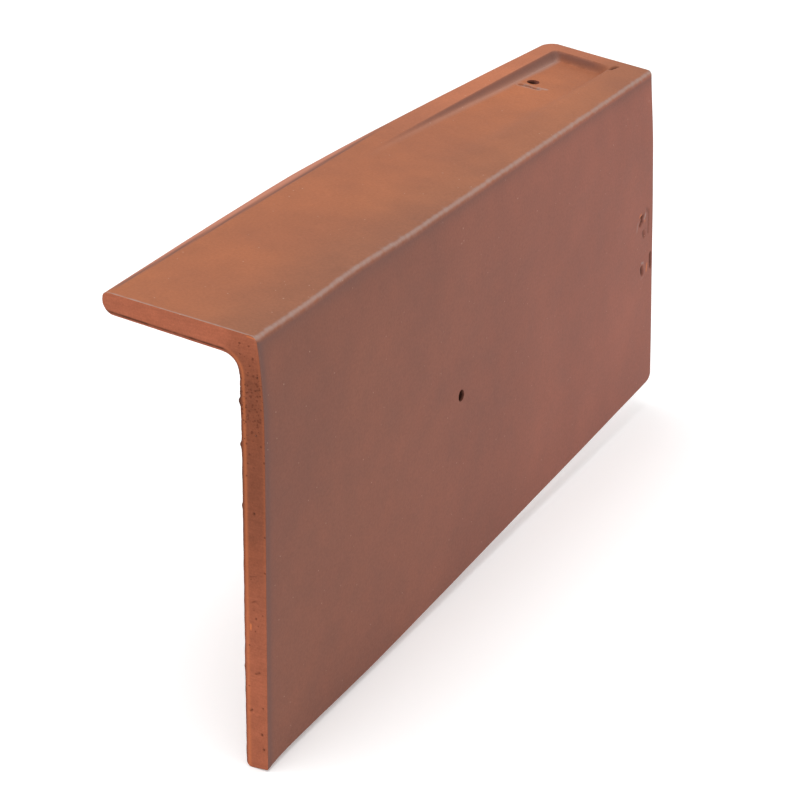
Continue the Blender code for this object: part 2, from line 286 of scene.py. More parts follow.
# Pits and scratches in the wire cut, at places of reach and height.
CUT_MARKS = (
    mark((3.3, -80.3), wide=0.7, deep=0.6, dark=1.0),
    mark((1.8, -44.4), wide=0.6, deep=0.5, dark=0.8),
    mark((0.6, -18.2), wide=0.6, deep=0.5, dark=0.8),
    mark((2.2, -24.4), (-0.6, -23.4), wide=0.4, deep=0.3, dark=0.4),
    mark((2.9, -129.6), wide=0.6, deep=0.5, dark=0.7),
    mark((5.4, -174.6), (6.2, -175.4), wide=0.6, deep=0.5, dark=0.7),
    mark((-0.1, -172.6), wide=0.6, deep=0.5, dark=0.8),
    mark((0.6, -185.8), wide=0.7, deep=0.6, dark=1.0),
    mark((-0.3, -193.1), wide=0.7, deep=0.6, dark=1.0),
    mark((5.7, -110.3), (2.6, -109.4), wide=0.4, deep=0.3, dark=0.3),
    mark((4.8, -122.0), (2.2, -121.0), wide=0.4, deep=0.3, dark=0.3),
    mark((3.4, -156.4), (1.4, -155.4), wide=0.5, deep=0.4, dark=0.6),
)

# Nubs of dragged clay on the cut's inner edge: drop below the arris, and height.
NUBS = in_mm(((30.5, 1.1), (50.0, 0.8), (78.0, 0.6), (154.0, 0.5)))

# Bright orange flecks, where clay was pressed on late: a path and a half width on each face.
FACE_FLECKS = (
    (in_mm(((389.6, -79.2), (391.4, -78.8))), 1.1 * MM),
    (in_mm(((396.6, -83.4), (397.0, -84.2))), 0.7 * MM),
    (in_mm(((402.6, -111.6), (402.2, -115.4))), 1.2 * MM),
)
CUT_FLECKS = (
    (in_mm(((0.6, -1.0), (4.3, -0.5))), 0.4 * MM),
    (in_mm(((5.6, -132.9), (5.6, -135.2))), 0.6 * MM),
)

# A tone laid over the clay: the mask that it follows, its strength and its colour.
Layer = namedtuple("Layer", "mask strength colour")
SKIN_LAYERS = (
    Layer("edge_strip", 0.3, "shade_grey"),
    # Painted shadow line along the tail edge.
    Layer("tail_edge_shade_line", 0.45, "shade_grey"),
    # Painted highlight on the rounded lip.
    Layer("lip", 0.85, "lip"),
    # Painted shade on the recess wall.
    Layer("recess_wall", 0.6, "shade_grey"),
    Layer("recess_band", 0.6, "arris"),
    # Painted shade in the crease.
    Layer("crease", 0.8, "shade_grey"),
    # Painted shade on the face just below the arris.
    Layer("arris_shade", 0.45, "shade_grey"),
    Layer("rubbed", 1.0, "arris"),
    Layer("specks", 0.38, "speck"),
    # Painted shade in the hollows of the worn marks.
    Layer("hollow", 0.9, "cut_dark"),
    # Pale of raised smears and mark lips, partly a painted highlight.
    Layer("raised", 0.9, "arris"),
    Layer("fleck", 0.6, "fleck"),
    Layer("hole_painted_shade", 1.0, "cut_dark"),
)
CUT_LAYERS = (
    # Painted highlight along the cut's edges.
    Layer("cut_edge_highlight", 0.42, "fleck"),
    # Painted shade at the cut's inner edge, with stains by the underside.
    Layer("stain", 0.85, "cut_dark"),
    # Painted shade in the torn stipple and the scattered pits.
    Layer("stipple", 0.7, "torn_pit_shade"),
    Layer("pits", 0.6, "torn_pit_shade"),
    # Painted shade in the pits and scratches of the wire cut.
    Layer("cut_mark_shade", 0.9, "cut_dark"),
    Layer("rubbed", 1.0, "arris"),
    Layer("cut_fleck", 0.8, "fleck"),
)

# Patterns of the two clays: where noise counts, how much of it shows, and how glossy they are.
NOISE_MIDDLE = 0.5
PATCHES_FROM = 0.36
PATCHES_TO = 0.66
RUB_UNEVENNESS = 0.8
RUB_FROM = 0.1
RUB_TO = 1.1
SPECK_LEAST = 0.5
SPECK_CORE = 0.6
SPECK_HEIGHT = 0.6
NO_STRETCH = (1.0, 1.0, 1.0)
LINE_STRETCH = (0.2, 0.06, 1.0)
PIT_SHARE = 0.03
TORN_SHARE = 0.85
SKIN_FLASH = 0.28
CUT_FLASH = 0.12
SKIN_GLOSS = 0.2
CUT_GLOSS = 0.12
CUT_ROUGHNESS = 0.85
BUMP_DISTANCE = 0.3 * MM

# Stage: the lights stand at these places from the tile's middle.
WHITE = (1.0, 1.0, 1.0, 1.0)
FLOOR_SIDES = 96
FLOOR_ROUGHNESS = 0.9
KEY_SIZE = 1.6
KEY_PLACE = Vector((-0.3, 0.2, 1.7))
FILL_SIZE = 1.4
FILL_PLACE = Vector((0.9, -1.5, 0.6))

# Camera: the photograph's viewing angle, found from the tile's own corners.
IMAGE_SIDE = 800
FOCAL_PIXELS = 2300
SENSOR_WIDTH_MM = 36
AXIS_PIXEL = (414, 370)
CAMERA_PLACE = Vector((-908.3, -496.8, 378.7)) * MM
CAMERA_AZIMUTH = math.radians(-61.7)
CAMERA_ELEVATION = math.radians(24.7)
CAMERA_FAR = 30.0


def length_property(name, description, value):
    return bpy.props.FloatProperty(name=name, description=description, default=value, unit="LENGTH")


def colour_property(name, description, value):
    return bpy.props.FloatVectorProperty(
        name=name, description=description, default=value, subtype="COLOR", size=3,
        min=0.0, max=1.0)


class VergeTileForm(bpy.types.PropertyGroup):
    """Sizes of the fired-clay tile."""

    length: length_property("Length", "Run of the tile along its arris", 0.404)
    apron_depth_tail: length_property("Apron at tail", "How far the apron hangs at the tail", 0.2009)
    apron_depth_head: length_property("Apron at head", "How far the apron hangs at the head", 0.1873)
    leg_width_tail: length_property("Leg at tail", "Reach of the roof leg at the tail", 0.0746)
    leg_width_belly: length_property("Leg at belly", "Reach of the roof leg where it is widest", 0.0797)
    leg_width_head: length_property("Leg at head", "Reach of the roof leg at the head", 0.0674)
    leg_rise: bpy.props.FloatProperty(
        name="Leg rise", description="How far the roof leg opens above square",
        default=math.radians(4.2), unit="ROTATION")
    root_thickness: length_property("Wall at arris", "Thickness of the leg's clay at the arris", 0.0114)
    lip_thickness: length_property("Wall at lip", "Thickness of the leg's clay at its free edge", 0.010)
    recess_depth: length_property("Lap recess", "Depth of the lap recess at the head", 0.0052)
    leg_hole: length_property("Leg nail hole", "Diameter of the nail hole through the leg", 0.0066)
    apron_hole: length_property("Apron nail hole", "Diameter of the nail hole through the apron", 0.0056)


class VergeTileRelief(bpy.types.PropertyGroup):
    """Low relief that hand making, wire cutting and firing leave."""

    swell_depth: length_property("Swell depth", "Depth of the unevenness of the pressed faces", 0.00035)
    swell_size: length_property("Swell size", "Width of one soft swell", 0.045)
    stipple_depth: length_property("Stipple depth", "Depth of the torn stipple on the tail", 0.0006)
    stipple_size: length_property("Stipple size", "Width of one torn pit on the tail", 0.0016)
    ragged_depth: length_property("Ragged edge", "How far the cut's inner edge wanders", 0.00045)
    ragged_size: length_property("Ragged length", "Length of one wander of the cut's edge", 0.006)
    seed: bpy.props.IntProperty(
        name="Seed", description="Fixes the pattern of swells and stipple", default=7)


class VergeTileClay(bpy.types.PropertyGroup):
    """Colours of the clay where the kiln and wear left them different, and of its painted shade and painted
    highlights.
    """

    top: colour_property("Leg top", "Top of the roof leg", (0.342, 0.115, 0.051))
    top_brown: colour_property("Leg top by the arris", "Browner top by the arris", (0.255, 0.101, 0.054))
    rim: colour_property("Recess rim", "Brighter rim outside the lap recess", (0.43, 0.145, 0.070))
    face_tail: colour_property("Apron at tail", "Brown show face near the tail", (0.225, 0.085, 0.055))
    face_head: colour_property("Apron at head", "Pinker show face near the head", (0.302, 0.105, 0.073))
    flash: colour_property("Kiln flash", "Darker purple-brown of the kiln's flashing", (0.15, 0.062, 0.048))
    # Painted shade: this grey-brown darkens the crease, the recess wall, the tail edge line and the face
    # just below the arris, and tints the greyer strip by the tail edge.
    shade_grey: colour_property("Shade Grey", "Grey-brown of soot in the creases", (0.13, 0.068, 0.060))
    cut: colour_property("Wire cut", "Orange of the wire-cut tail", (0.42, 0.125, 0.065))
    cut_shade: colour_property("Wire cut shade", "Duller stretch of the wire cut", (0.235, 0.070, 0.035))
    # Painted shade in the torn stipple's pits, in a reddish brown.
    torn_pit_shade: colour_property("Torn stipple", "Reddish brown of the torn stipple", (0.14, 0.036, 0.018))
    # The dark of the painted shade in the pits, gouges and nail holes, and at the cut's edges, where it
    # also colours stains.
    cut_dark: colour_property("Hollows", "Dark of the deep pits and the holes", (0.06, 0.020, 0.012))
    # Also the colour of the painted highlight along the wire cut's edges.
    fleck: colour_property("Flecks", "Bright orange of late clay", (0.66, 0.19, 0.065))
    # Also the pale of raised smears and mark lips, partly a painted highlight, and of the pale band in the
    # recess.
    arris: colour_property("Worn arris", "Grey of the rubbed arris", (0.34, 0.255, 0.23))
    # Painted highlight on the rounded lip outside the crease, in a pinker tone.
    lip: colour_property("Lip", "Pink of the rounded lip", (0.46, 0.19, 0.125))
    speck: colour_property("Specks", "Pale grains in the clay", (0.55, 0.36, 0.27))


class VergeTileStage(bpy.types.PropertyGroup):
    """Floor and light."""

    floor_colour: colour_property("Floor", "Colour of the plain floor", (0.93, 0.93, 0.93))
    floor_radius: length_property("Floor radius", "Radius of the round floor", 6.0)
    floor_glow: bpy.props.FloatProperty(
        name="Floor glow", description="Glow of the floor, which keeps its shadow pale", default=0.2)
    sky_strength: bpy.props.FloatProperty(
        name="Sky strength", description="Strength of the even light all round", default=0.68)
    key_power: bpy.props.FloatProperty(
        name="Key power", description="Power of the large light above", default=22.0, unit="POWER")
    fill_power: bpy.props.FloatProperty(
        name="Fill power", description="Power of the light on the apron", default=4.0, unit="POWER")


def soft_step(share):
    """Rises smoothly from 0 to 1 as the share does."""
    share = np.clip(share, 0.0, 1.0)
    return share * share * (3 - 2 * share)


def leg_top(form, reach):
    """Height of the leg's top plane at a distance from the arris."""
    return reach * math.tan(form.leg_rise)


def leg_underside(form, reach):
    """Height of the leg's underside plane, which closes on the top towards the lip."""
    thinning = (form.root_thickness - form.lip_thickness) * reach / form.leg_width_belly
    return leg_top(form, reach) - (form.root_thickness - thinning) / math.cos(form.leg_rise)


def apron_back(form, drop):
    """Y of the apron's inner plane at a drop below the arris."""
    return WALL_BEHIND_ARRIS - WALL_THINNING * drop / form.apron_depth_tail


def face_swell(drop):
    """How far the apron's face stands forward of the arris at a drop below it."""
    above = 1 - min(max(drop, 0) / SHOULDER_DROP, 1)
    return SHOULDER_DEPTH * (1 - above ** 2)


def leg_width(form, run):
    """Bowed free edge: widest at the belly, narrower at both ends."""
    run = np.clip(run, 0, form.length)
    to_tail = np.clip(1 - run / BELLY_FROM_TAIL, 0, 1) ** BOW_POWER
    to_head = np.clip((run - BELLY_FROM_TAIL) / (form.length - BELLY_FROM_TAIL), 0, 1) ** BOW_POWER
    return (form.leg_width_belly
            - (form.leg_width_belly - form.leg_width_tail) * to_tail
            - (form.leg_width_belly - form.leg_width_head) * to_head)


def apron_depth(form, run):
    """Even depth near the tail but for a droop at its tip, then a slow rise towards the head."""
    share = np.clip((run - FOOT_LEVEL_RUN) / (form.length - FOOT_LEVEL_RUN), 0, 1)
    rise = (form.apron_depth_tail - form.apron_depth_head) * share ** FOOT_RISE_POWER
    return form.apron_depth_tail - rise + FOOT_DROOP * math.exp(-max(run, 0) / FOOT_DROOP_RUN)


def end_dip(depth, below_arris, drop):
    """Soft dip of an end: deepest at one distance below the arris, gone towards the foot."""
    near = max(drop, 0) / below_arris
    return depth * near * math.exp(1 - near)


def tail_end(form, drop):
    """X of the wire cut: a dip below the arris, then out to the foot."""
    dip = end_dip(TAIL_DIP, TAIL_DIP_BELOW_ARRIS, drop)
    return dip - TAIL_FOOT_OVERRUN * max(drop, 0) / form.apron_depth_tail


def head_overrun(form, reach, drop):
    """How far the head stands out: a dip of the apron's end, and both free corners beyond."""
    across = max(reach, 0) / form.leg_width_head
    lip = HEAD_LIP_OVERRUN * across
    foot = HEAD_FOOT_OVERRUN * max(drop, 0) / form.apron_depth_head
    return max(lip, foot) - end_dip(HEAD_DIP, HEAD_DIP_BELOW_ARRIS, drop) * max(1 - across, 0)


def tile_x(form, run, reach, height):
    """X of a point of the section at one station, once both ends have their own slant."""
    share = run / form.length
    tail = tail_end(form, -height) * (1 - share)
    return run + tail + head_overrun(form, reach, -height) * share


def round_off(distance, radius):
    """How far a quarter round stands back at a distance from its end."""
    if distance >= radius:
        return 0.0
    return radius - math.sqrt(radius ** 2 - (radius - distance) ** 2)


def quarter_steps(radius, count):
    """Distances from an end that divide a quarter round evenly, from the end inwards."""
    return [radius * (1 - math.cos(math.pi / 2 * step / count)) for step in range(count + 1)]


def offset_corners(corners, inset):
    """Corners of a closed outline moved inwards by the same distance on every side."""
    moved = []
    count = len(corners)
    for index, corner in enumerate(corners):
        before = (corner - corners[index - 1]).normalized()
        after = (corners[(index + 1) % count] - corner).normalized()
        side_before = Vector((before.y, -before.x))
        side_after = Vector((after.y, -after.x))
        bisector = (side_before + side_after) / (1 + side_before.dot(side_after))
        moved.append(corner + bisector * inset)
    return moved


def fillet(before, corner, after, radius):
    """Arc that rounds one corner, from the side of the point before to the side after."""
    to_before = (before - corner).normalized()
    to_after = (after - corner).normalized()
    half_angle = to_before.angle(to_after) / 2
    centre = corner + (to_before + to_after).normalized() * radius / math.sin(half_angle)
    start = corner + to_before * radius / math.tan(half_angle) - centre
    end = corner + to_after * radius / math.tan(half_angle) - centre
    sweep = start.angle_signed(end)
    turns = [-sweep * step / CORNER_STEPS for step in range(CORNER_STEPS + 1)]
    return [centre + Matrix.Rotation(turn, 2) @ start for turn in turns]


def between(first, last, count, crowding=1.0):
    """Points strictly between two ends. Crowding above one moves them towards the last."""
    shares = [1 - (1 - step / (count + 1)) ** crowding for step in range(1, count + 1)]
    return [first.lerp(last, share) for share in shares]


def recess_wall(form, run):
    """Reach of the recess's side wall, inside the rim along the free edge."""
    head = form.length - RECESS_HEAD_RIM
    share = np.clip((run - RECESS_FROM_TAIL) / (head - RECESS_FROM_TAIL), 0, 1)
    rim = RECESS_SIDE_RIM_START + (RECESS_SIDE_RIM_HEAD - RECESS_SIDE_RIM_START) * share
    return leg_width(form, run) - rim


def recess_place(form, x, reach):
    """Where points of the leg's top lie in the recess: share of its run, from head, from wall."""
    head = form.length - RECESS_HEAD_RIM
    first = RECESS_FROM_TAIL
    from_corner = (form.leg_width_head - reach) / form.leg_width_head
    slant = HEAD_LIP_OVERRUN * reach / form.leg_width_head - RECESS_HEAD_RIM_SPLAY * from_corner
    run = (x + slant * first / (head - first)) / (1 + slant / (head - first))
    share = np.clip((run - first) / (head - first), 0, 1)
    return share, head - run, recess_wall(form, run) - reach


def down_recess_wall(from_head, from_wall):
    """How far down the recess's wall points lie, 0 on the rim and 1 on the floor."""
    beyond = np.hypot(
        np.clip(RECESS_CORNER_RADIUS - from_head, 0, None),
        np.clip(RECESS_CORNER_RADIUS - from_wall, 0, None))
    inside = np.where(beyond > 0, RECESS_CORNER_RADIUS - beyond, np.minimum(from_head, from_wall))
    at_head = np.clip(from_wall, 0, None) / (np.abs(from_wall) + np.abs(from_head) + MM)
    run = RECESS_WALL_RUN + (RECESS_HEAD_WALL_RUN - RECESS_WALL_RUN) * at_head ** 2
    return soft_step(inside / run)


def recess_drop(form, x, reach):
    """Depth of the lap recess at points of the leg's top."""
    share, from_head, from_wall = recess_place(form, x, reach)
    ramp = np.sin(share * math.pi / 2) ** RECESS_RAMP_POWER
    slope_run = RECESS_ARRIS_SLOPE_START + (RECESS_ARRIS_SLOPE_HEAD - RECESS_ARRIS_SLOPE_START) * share
    slope = soft_step((reach - RECESS_ARRIS_MARGIN) / slope_run)
    return form.recess_depth * ramp * down_recess_wall(from_head, from_wall) * slope


def recess_tones(form, x, reach):
    """Masks of the painted shade on the recess wall, the pale band along its foot, and the bright rim
    outside.
    """
    share, from_head, from_wall = recess_place(form, x, reach)
    down = down_recess_wall(from_head, from_wall)
    beyond_arris = soft_step((reach - RECESS_ARRIS_MARGIN) / RECESS_ARRIS_SLOPE_START)
    rim = (1 - down) * soft_step(share * RECESS_TONE_RISE) * beyond_arris
    wall = rim * np.sqrt(down) * WALL_SHADE_PEAK
    beside = bump_at(from_wall, RECESS_BAND_FROM_WALL, RECESS_BAND_HALF)
    band = beside * share * soft_step(from_head / RECESS_CORNER_RADIUS)
    return wall, band, rim


def crease_reach(x):
    """Reach of the straight crease along the free edge."""
    return CREASE_AT_TAIL + (CREASE_AT_FADE - CREASE_AT_TAIL) * x / CREASE_FADE_FROM_TAIL


def crease_strength(x):
    """The crease fades in just off the tail and out where the recess begins."""
    start = soft_step(x / CREASE_START_RUN)
    return start * (1 - soft_step((x - CREASE_FADE_FROM_TAIL) / CREASE_FADE_RUN))


def hump(x, reach):
    """Rise of the arris near the tail, easing out across the leg."""
    along = np.clip(1 - ((x - HUMP_FROM_TAIL) / HUMP_HALF_LENGTH) ** 2, 0, 1) ** 2
    return HUMP_HEIGHT * along * (1 - soft_step(np.abs(reach) / HUMP_REACH))


def section_rails(form, width, depth, inset, wall):
    """Face rail and back rail of one section, foot to lip, with as many points on each."""
    nose = leg_top(form, width) - leg_underside(form, width)
    lip_back = width + nose * math.tan(form.leg_rise)
    corner = apron_back(form, form.root_thickness)
    corners = [
        Vector((0, -depth)),
        Vector((0, 0)),
        Vector((width, leg_top(form, width))),
        Vector((lip_back, leg_underside(form, lip_back))),
        Vector((corner, leg_underside(form, corner))),
        Vector((apron_back(form, depth + FOOT_SLANT), -depth - FOOT_SLANT)),
    ]
    foot_face, arris, lip_top, lip_under, inner, foot_back = offset_corners(corners, inset)

    def eased(radius):
        return max(radius - inset, SMALLEST_RADIUS)

    foot_face_arc = fillet(foot_back, foot_face, arris, eased(FOOT_FACE_RADIUS))
    arris_arc = fillet(foot_face, arris, lip_top, eased(ARRIS_RADIUS))
    lip_top_arc = fillet(arris, lip_top, lip_under, eased(LIP_TOP_RADIUS))
    foot_back_arc = fillet(foot_face, foot_back, inner, eased(FOOT_BACK_RADIUS))
    inner_arc = fillet(foot_back, inner, lip_under, INNER_FILLET + inset)
    lip_under_arc = fillet(inner, lip_under, lip_top, eased(LIP_UNDER_RADIUS))

    top_start, top_end = arris_arc[-1], lip_top_arc[0]
    along = top_end.x - top_start.x
    wall_foot = top_start.lerp(top_end, (wall - WALL_ZONE_IN - top_start.x) / along)
    wall_head = top_start.lerp(top_end, (wall + WALL_ZONE_OUT - top_start.x) / along)
    top = between(top_start, wall_foot, LEG_RIBS)
    top += [wall_foot] + between(wall_foot, wall_head, WALL_RIBS) + [wall_head]
    top += between(wall_head, top_end, RIM_RIBS)

    apron_face = between(foot_face_arc[-1], arris_arc[0], APRON_RIBS, APRON_RIB_CROWDING)
    face = foot_face_arc + apron_face + arris_arc + top + lip_top_arc
    face = [Vector((point.x - face_swell(-point.y), point.y)) for point in face]

    apron_inner = between(foot_back_arc[-1], inner_arc[0], APRON_RIBS, APRON_RIB_CROWDING)
    underside = between(inner_arc[-1], lip_under_arc[0], len(top))
    back = foot_back_arc + apron_inner + inner_arc + underside + lip_under_arc
    return face, back


def run_stations(form):
    """Stations along the run, closer together at the tail, the head and their rounded edges."""
    tail = quarter_steps(TAIL_EDGE_RADIUS, TAIL_STEPS)
    tail += [tail[-1] + (TAIL_ZONE - tail[-1]) * step / TAIL_ZONE_STEPS
             for step in range(1, TAIL_ZONE_STEPS + 1)]
    largest = max(HEAD_LIP_CORNER_RADIUS, HEAD_FOOT_CORNER_RADIUS)
    corner = [form.length - distance for distance in reversed(quarter_steps(largest, HEAD_CORNER_STEPS))]
    zone_start = form.length - HEAD_ZONE
    middle_count = round((zone_start - tail[-1]) / RUN_STEP)
    middle = [tail[-1] + (zone_start - tail[-1]) * step / middle_count
              for step in range(1, middle_count + 1)]
    zone_count = round((corner[0] - zone_start) / HEAD_ZONE_STEP)
    zone = [zone_start + (corner[0] - zone_start) * step / zone_count for step in range(1, zone_count)]
    return tail + middle + zone + corner


def station_rails(form, run):
    """Both rails of the section at one station."""
    from_head = form.length - run
    width = float(leg_width(form, run)) - round_off(from_head, HEAD_LIP_CORNER_RADIUS)
    depth = float(apron_depth(form, run)) - round_off(from_head, HEAD_FOOT_CORNER_RADIUS)
    inset = round_off(from_head, HEAD_EDGE_RADIUS) + round_off(run, TAIL_EDGE_RADIUS)
    wall = min(float(recess_wall(form, run)), width - inset - LIP_TOP_RADIUS - WALL_ZONE_OUT * 2)
    return section_rails(form, width, depth, inset, wall)


def in_space(form, run, across):
    return Vector((tile_x(form, run, across.x, across.y), across.x, across.y))


def tile_loft(form):
    """Closed quad mesh of the tile, with a fine grid across its wire-cut tail."""
    shape = bmesh.new()
    loops = []
    caps = []
    for run in run_stations(form):
        face, back = station_rails(form, run)
        nose = between(face[-1], back[-1], CAP_COLUMNS)
        foot = between(back[0], face[0], CAP_COLUMNS)
        loop = face + nose + back[::-1] + foot
        loops.append([shape.verts.new(in_space(form, run, point)) for point in loop])
        caps.append((run, face, back))
    for loop_a, loop_b in zip(loops, loops[1:]):
        for index, corner in enumerate(loop_a):
            shape.faces.new((loop_a[index - 1], corner, loop_b[index], loop_b[index - 1]))
    for loop, (run, face, back) in ((loops[0], caps[0]), (loops[-1], caps[-1])):
        fill_cap(shape, form, run, loop, face, back)
    bmesh.ops.recalc_face_normals(shape, faces=shape.faces)
    return shape


def fill_cap(shape, form, run, loop, face, back):
    """Grid between the rails of an end section, sharing the loop's own corners."""
    count = len(face)
    face_row = loop[:count]
    nose_row = loop[count:count + CAP_COLUMNS]
    back_row = loop[count + CAP_COLUMNS:count * 2 + CAP_COLUMNS][::-1]
    foot_row = loop[count * 2 + CAP_COLUMNS:][::-1]
    rows = []
    for index in range(count):
        if index == 0:
            inner = foot_row
        elif index == count - 1:
            inner = nose_row
        else:
            points = between(face[index], back[index], CAP_COLUMNS)
            inner = [shape.verts.new(in_space(form, run, point)) for point in points]
        rows.append([face_row[index]] + inner + [back_row[index]])
    for row_a, row_b in zip(rows, rows[1:]):
        for index in range(len(row_a) - 1):
            shape.faces.new((row_a[index], row_a[index + 1], row_b[index + 1], row_b[index]))


def refine(shape, inside, longest):
    """Divide the edges of one place again until they are short enough for its marks."""
    for _ in range(REFINE_ROUNDS):
        edges = [edge for edge in shape.edges
                 if edge.calc_length() > longest
                 and inside((edge.verts[0].co + edge.verts[1].co) / 2)]
        bmesh.ops.subdivide_edges(shape, edges=edges, cuts=1, use_grid_fill=True)


def refine_worn_places(shape, form):
    leg_hole = Vector((form.length - LEG_HOLE_FROM_HEAD, LEG_HOLE_FROM_ARRIS, 0))
    apron_hole = Vector((APRON_HOLE_FROM_TAIL, 0, -APRON_HOLE_BELOW_ARRIS))

    def on_cut(place):
        return place.x < tail_end(form, -place.z) + TAIL_EDGE_RADIUS * 2

    def at_scars(place):
        deep_enough = -SCAR_ZONE_BOTTOM < place.z < -SCAR_ZONE_TOP
        return place.x > SCAR_ZONE_START and deep_enough and place.y < WALL_BEHIND_ARRIS / 2

    def at_leg_hole(place):
        return place.z > -form.root_thickness / 2 and (place.xy - leg_hole.xy).length < GOUGE_ZONE

    def at_apron_hole(place):
        return place.y < 0 and (place.xz - apron_hole.xz).length < HOLE_ZONE

    def at_head_gouge(place):
        gouge = Vector(LEG_MARKS[-1].path[0])
        return place.z > -form.root_thickness / 2 and (place.xy - gouge).length < HOLE_ZONE

    refine(shape, on_cut, CUT_FACE_DETAIL)
    refine(shape, at_scars, SCAR_DETAIL)
    refine(shape, at_head_gouge, SCAR_DETAIL)
    refine(shape, at_leg_hole, HOLE_DETAIL)
    refine(shape, at_apron_hole, HOLE_DETAIL)


def hole_cutter(name, diameter, place, axis, length):
    """Slightly uneven round cutter, as a nail pushed through wet clay leaves."""
    shape = bmesh.new()
    bmesh.ops.create_cone(
        shape, cap_ends=True, segments=HOLE_SIDES, radius1=diameter / 2, radius2=diameter / 2,
        depth=length)
    walls = [edge for edge in shape.edges if abs(edge.verts[0].co.z - edge.verts[1].co.z) > length / 2]
    bmesh.ops.subdivide_edges(shape, edges=walls, cuts=HOLE_RINGS)
    turn = axis.to_track_quat("Z", "Y").to_matrix().to_4x4()
    for corner in shape.verts:
        swell = noise.noise(Vector((corner.co.x, corner.co.y, 0)) / (diameter / 2) + place / MM)
        corner.co += Vector((corner.co.x, corner.co.y, 0)).normalized() * swell * HOLE_ROUGHNESS
    bmesh.ops.transform(shape, matrix=Matrix.Translation(place) @ turn, verts=shape.verts)
    mesh = bpy.data.meshes.new(name)
    shape.to_mesh(mesh)
    shape.free()
    cutter = bpy.data.objects.new(name, mesh)
    bpy.context.scene.collection.objects.link(cutter)
    return cutter


def cut_nail_holes(tile, form):
    """Take both nail holes out of the clay and leave a plain mesh."""
    run = form.length - LEG_HOLE_FROM_HEAD
    reach = LEG_HOLE_FROM_ARRIS
    length = form.root_thickness * 2
    leg_place = Vector((run, reach, leg_top(form, reach) - form.root_thickness / 2))
    leg_axis = Vector((0, -math.sin(form.leg_rise), math.cos(form.leg_rise)))
    drop = APRON_HOLE_BELOW_ARRIS
    apron_place = Vector((APRON_HOLE_FROM_TAIL, (apron_back(form, drop) - face_swell(drop)) / 2, -drop))
    cutters = [
        hole_cutter("leg_hole_cutter", form.leg_hole, leg_place, leg_axis, length),
        hole_cutter("apron_hole_cutter", form.apron_hole, apron_place, Vector((0, 1, 0)), length),
    ]
    for cutter in cutters:
        boolean = tile.modifiers.new(cutter.name, "BOOLEAN")
        boolean.operation = "DIFFERENCE"
        boolean.solver = "EXACT"
        boolean.object = cutter
    bake_modifiers(tile)
    for cutter in cutters:
        bpy.data.objects.remove(cutter, do_unlink=True)


def bake_modifiers(piece):
    """Turn the evaluated piece into a plain mesh."""
    depsgraph = bpy.context.evaluated_depsgraph_get()
    baked = bpy.data.meshes.new_from_object(
        piece.evaluated_get(depsgraph), preserve_all_data_layers=True, depsgraph=depsgraph)
    old = piece.data
    piece.modifiers.clear()
    piece.data = baked
    bpy.data.meshes.remove(old)
    baked.name = piece.name


def distance_to_path(points, path):
    """Distance of points in a plane from a path of one or more corners."""
    corners = [np.array(corner) for corner in path]
    if len(corners) == 1:
        return np.linalg.norm(points - corners[0], axis=1)
    nearest = np.full(len(points), np.inf)
    for start, end in zip(corners, corners[1:]):
        side = end - start
        share = np.clip((points - start) @ side / (side @ side), 0, 1)
        nearest = np.minimum(nearest, np.linalg.norm(points - start - share[:, None] * side, axis=1))
    return nearest


def bump_at(distance, place, half_width):
    """Soft hump of height one at one distance."""
    return np.exp(-((distance - place) / half_width) ** 2)


def mark_depths(points, marks):
    """Depth of all the marks at points of a face, and how far each is hollow or raised there, for its
    painted shade and its pale.
    """
    depth = np.zeros(len(points))
    hollow = np.zeros(len(points))
    raised = np.zeros(len(points))
    for worn in marks:
        distance = distance_to_path(points, worn.path) / worn.half_width
        bowl = 1 - soft_step(distance / BOWL_END)
        lip = bump_at(distance, LIP_PLACE, LIP_HALF_WIDTH)
        depth += worn.depth * bowl - worn.lip * lip
        hollow = np.maximum(hollow, bowl * worn.dark)
        raised = np.maximum(raised, (lip if worn.depth > 0 else bowl) * worn.pale)
    return depth, hollow, raised


def fleck_mask(points, flecks):
    """One on the bright flecks of a face."""
    mask = np.zeros(len(points))
    for path, half_width in flecks:
        mask = np.maximum(mask, 1 - soft_step(distance_to_path(points, path) / half_width / BOWL_END))
    return mask


def hole_painted_shade(surface):
    """Painted shade inside each nail hole: deeper is darker, the leg hole's lit side less so."""
    form, x, y, z = surface.form, surface.x, surface.y, surface.z
    across_x = x - form.length + LEG_HOLE_FROM_HEAD
    across_y = y - LEG_HOLE_FROM_ARRIS
    deep = soft_step((surface.below_skin - HOLE_SHADE_FROM) / HOLE_SHADE_BY)
    lit = soft_step((across_x * HOLE_LIT_SIDE[0] + across_y * HOLE_LIT_SIDE[1]) / (form.leg_hole / 2))
    leg = surface.in_leg_hole * deep * (1 - lit * HOLE_LIT_SHARE)
    radius = form.apron_hole / 2 + HOLE_ROUGHNESS
    in_apron_hole = np.hypot(x - APRON_HOLE_FROM_TAIL, z + APRON_HOLE_BELOW_ARRIS) < radius
    apron = in_apron_hole * soft_step((y + SHOULDER_DEPTH - HOLE_SHADE_FROM) / HOLE_SHADE_BY)
    return np.maximum(leg, apron)


def vectors_of(items, name):
    """One vector of every item, as rows."""
    values = np.empty(len(items) * 3)
    items.foreach_get(name, values)
    return values.reshape(-1, 3)


def store_masks(mesh, masks):
    """Keep masks on the mesh's points for the relief and the materials to read."""
    for name, values in masks.items():
        layer = mesh.attributes.new(name, "FLOAT", "POINT")
        layer.data.foreach_set("value", np.asarray(values, np.float32))


def wander(places, size, seed):
    """Noise from minus one to one at each place."""
    shift = Vector((seed, seed / 2, -seed))
    return np.array([noise.noise(Vector(place) / size + shift) for place in places])


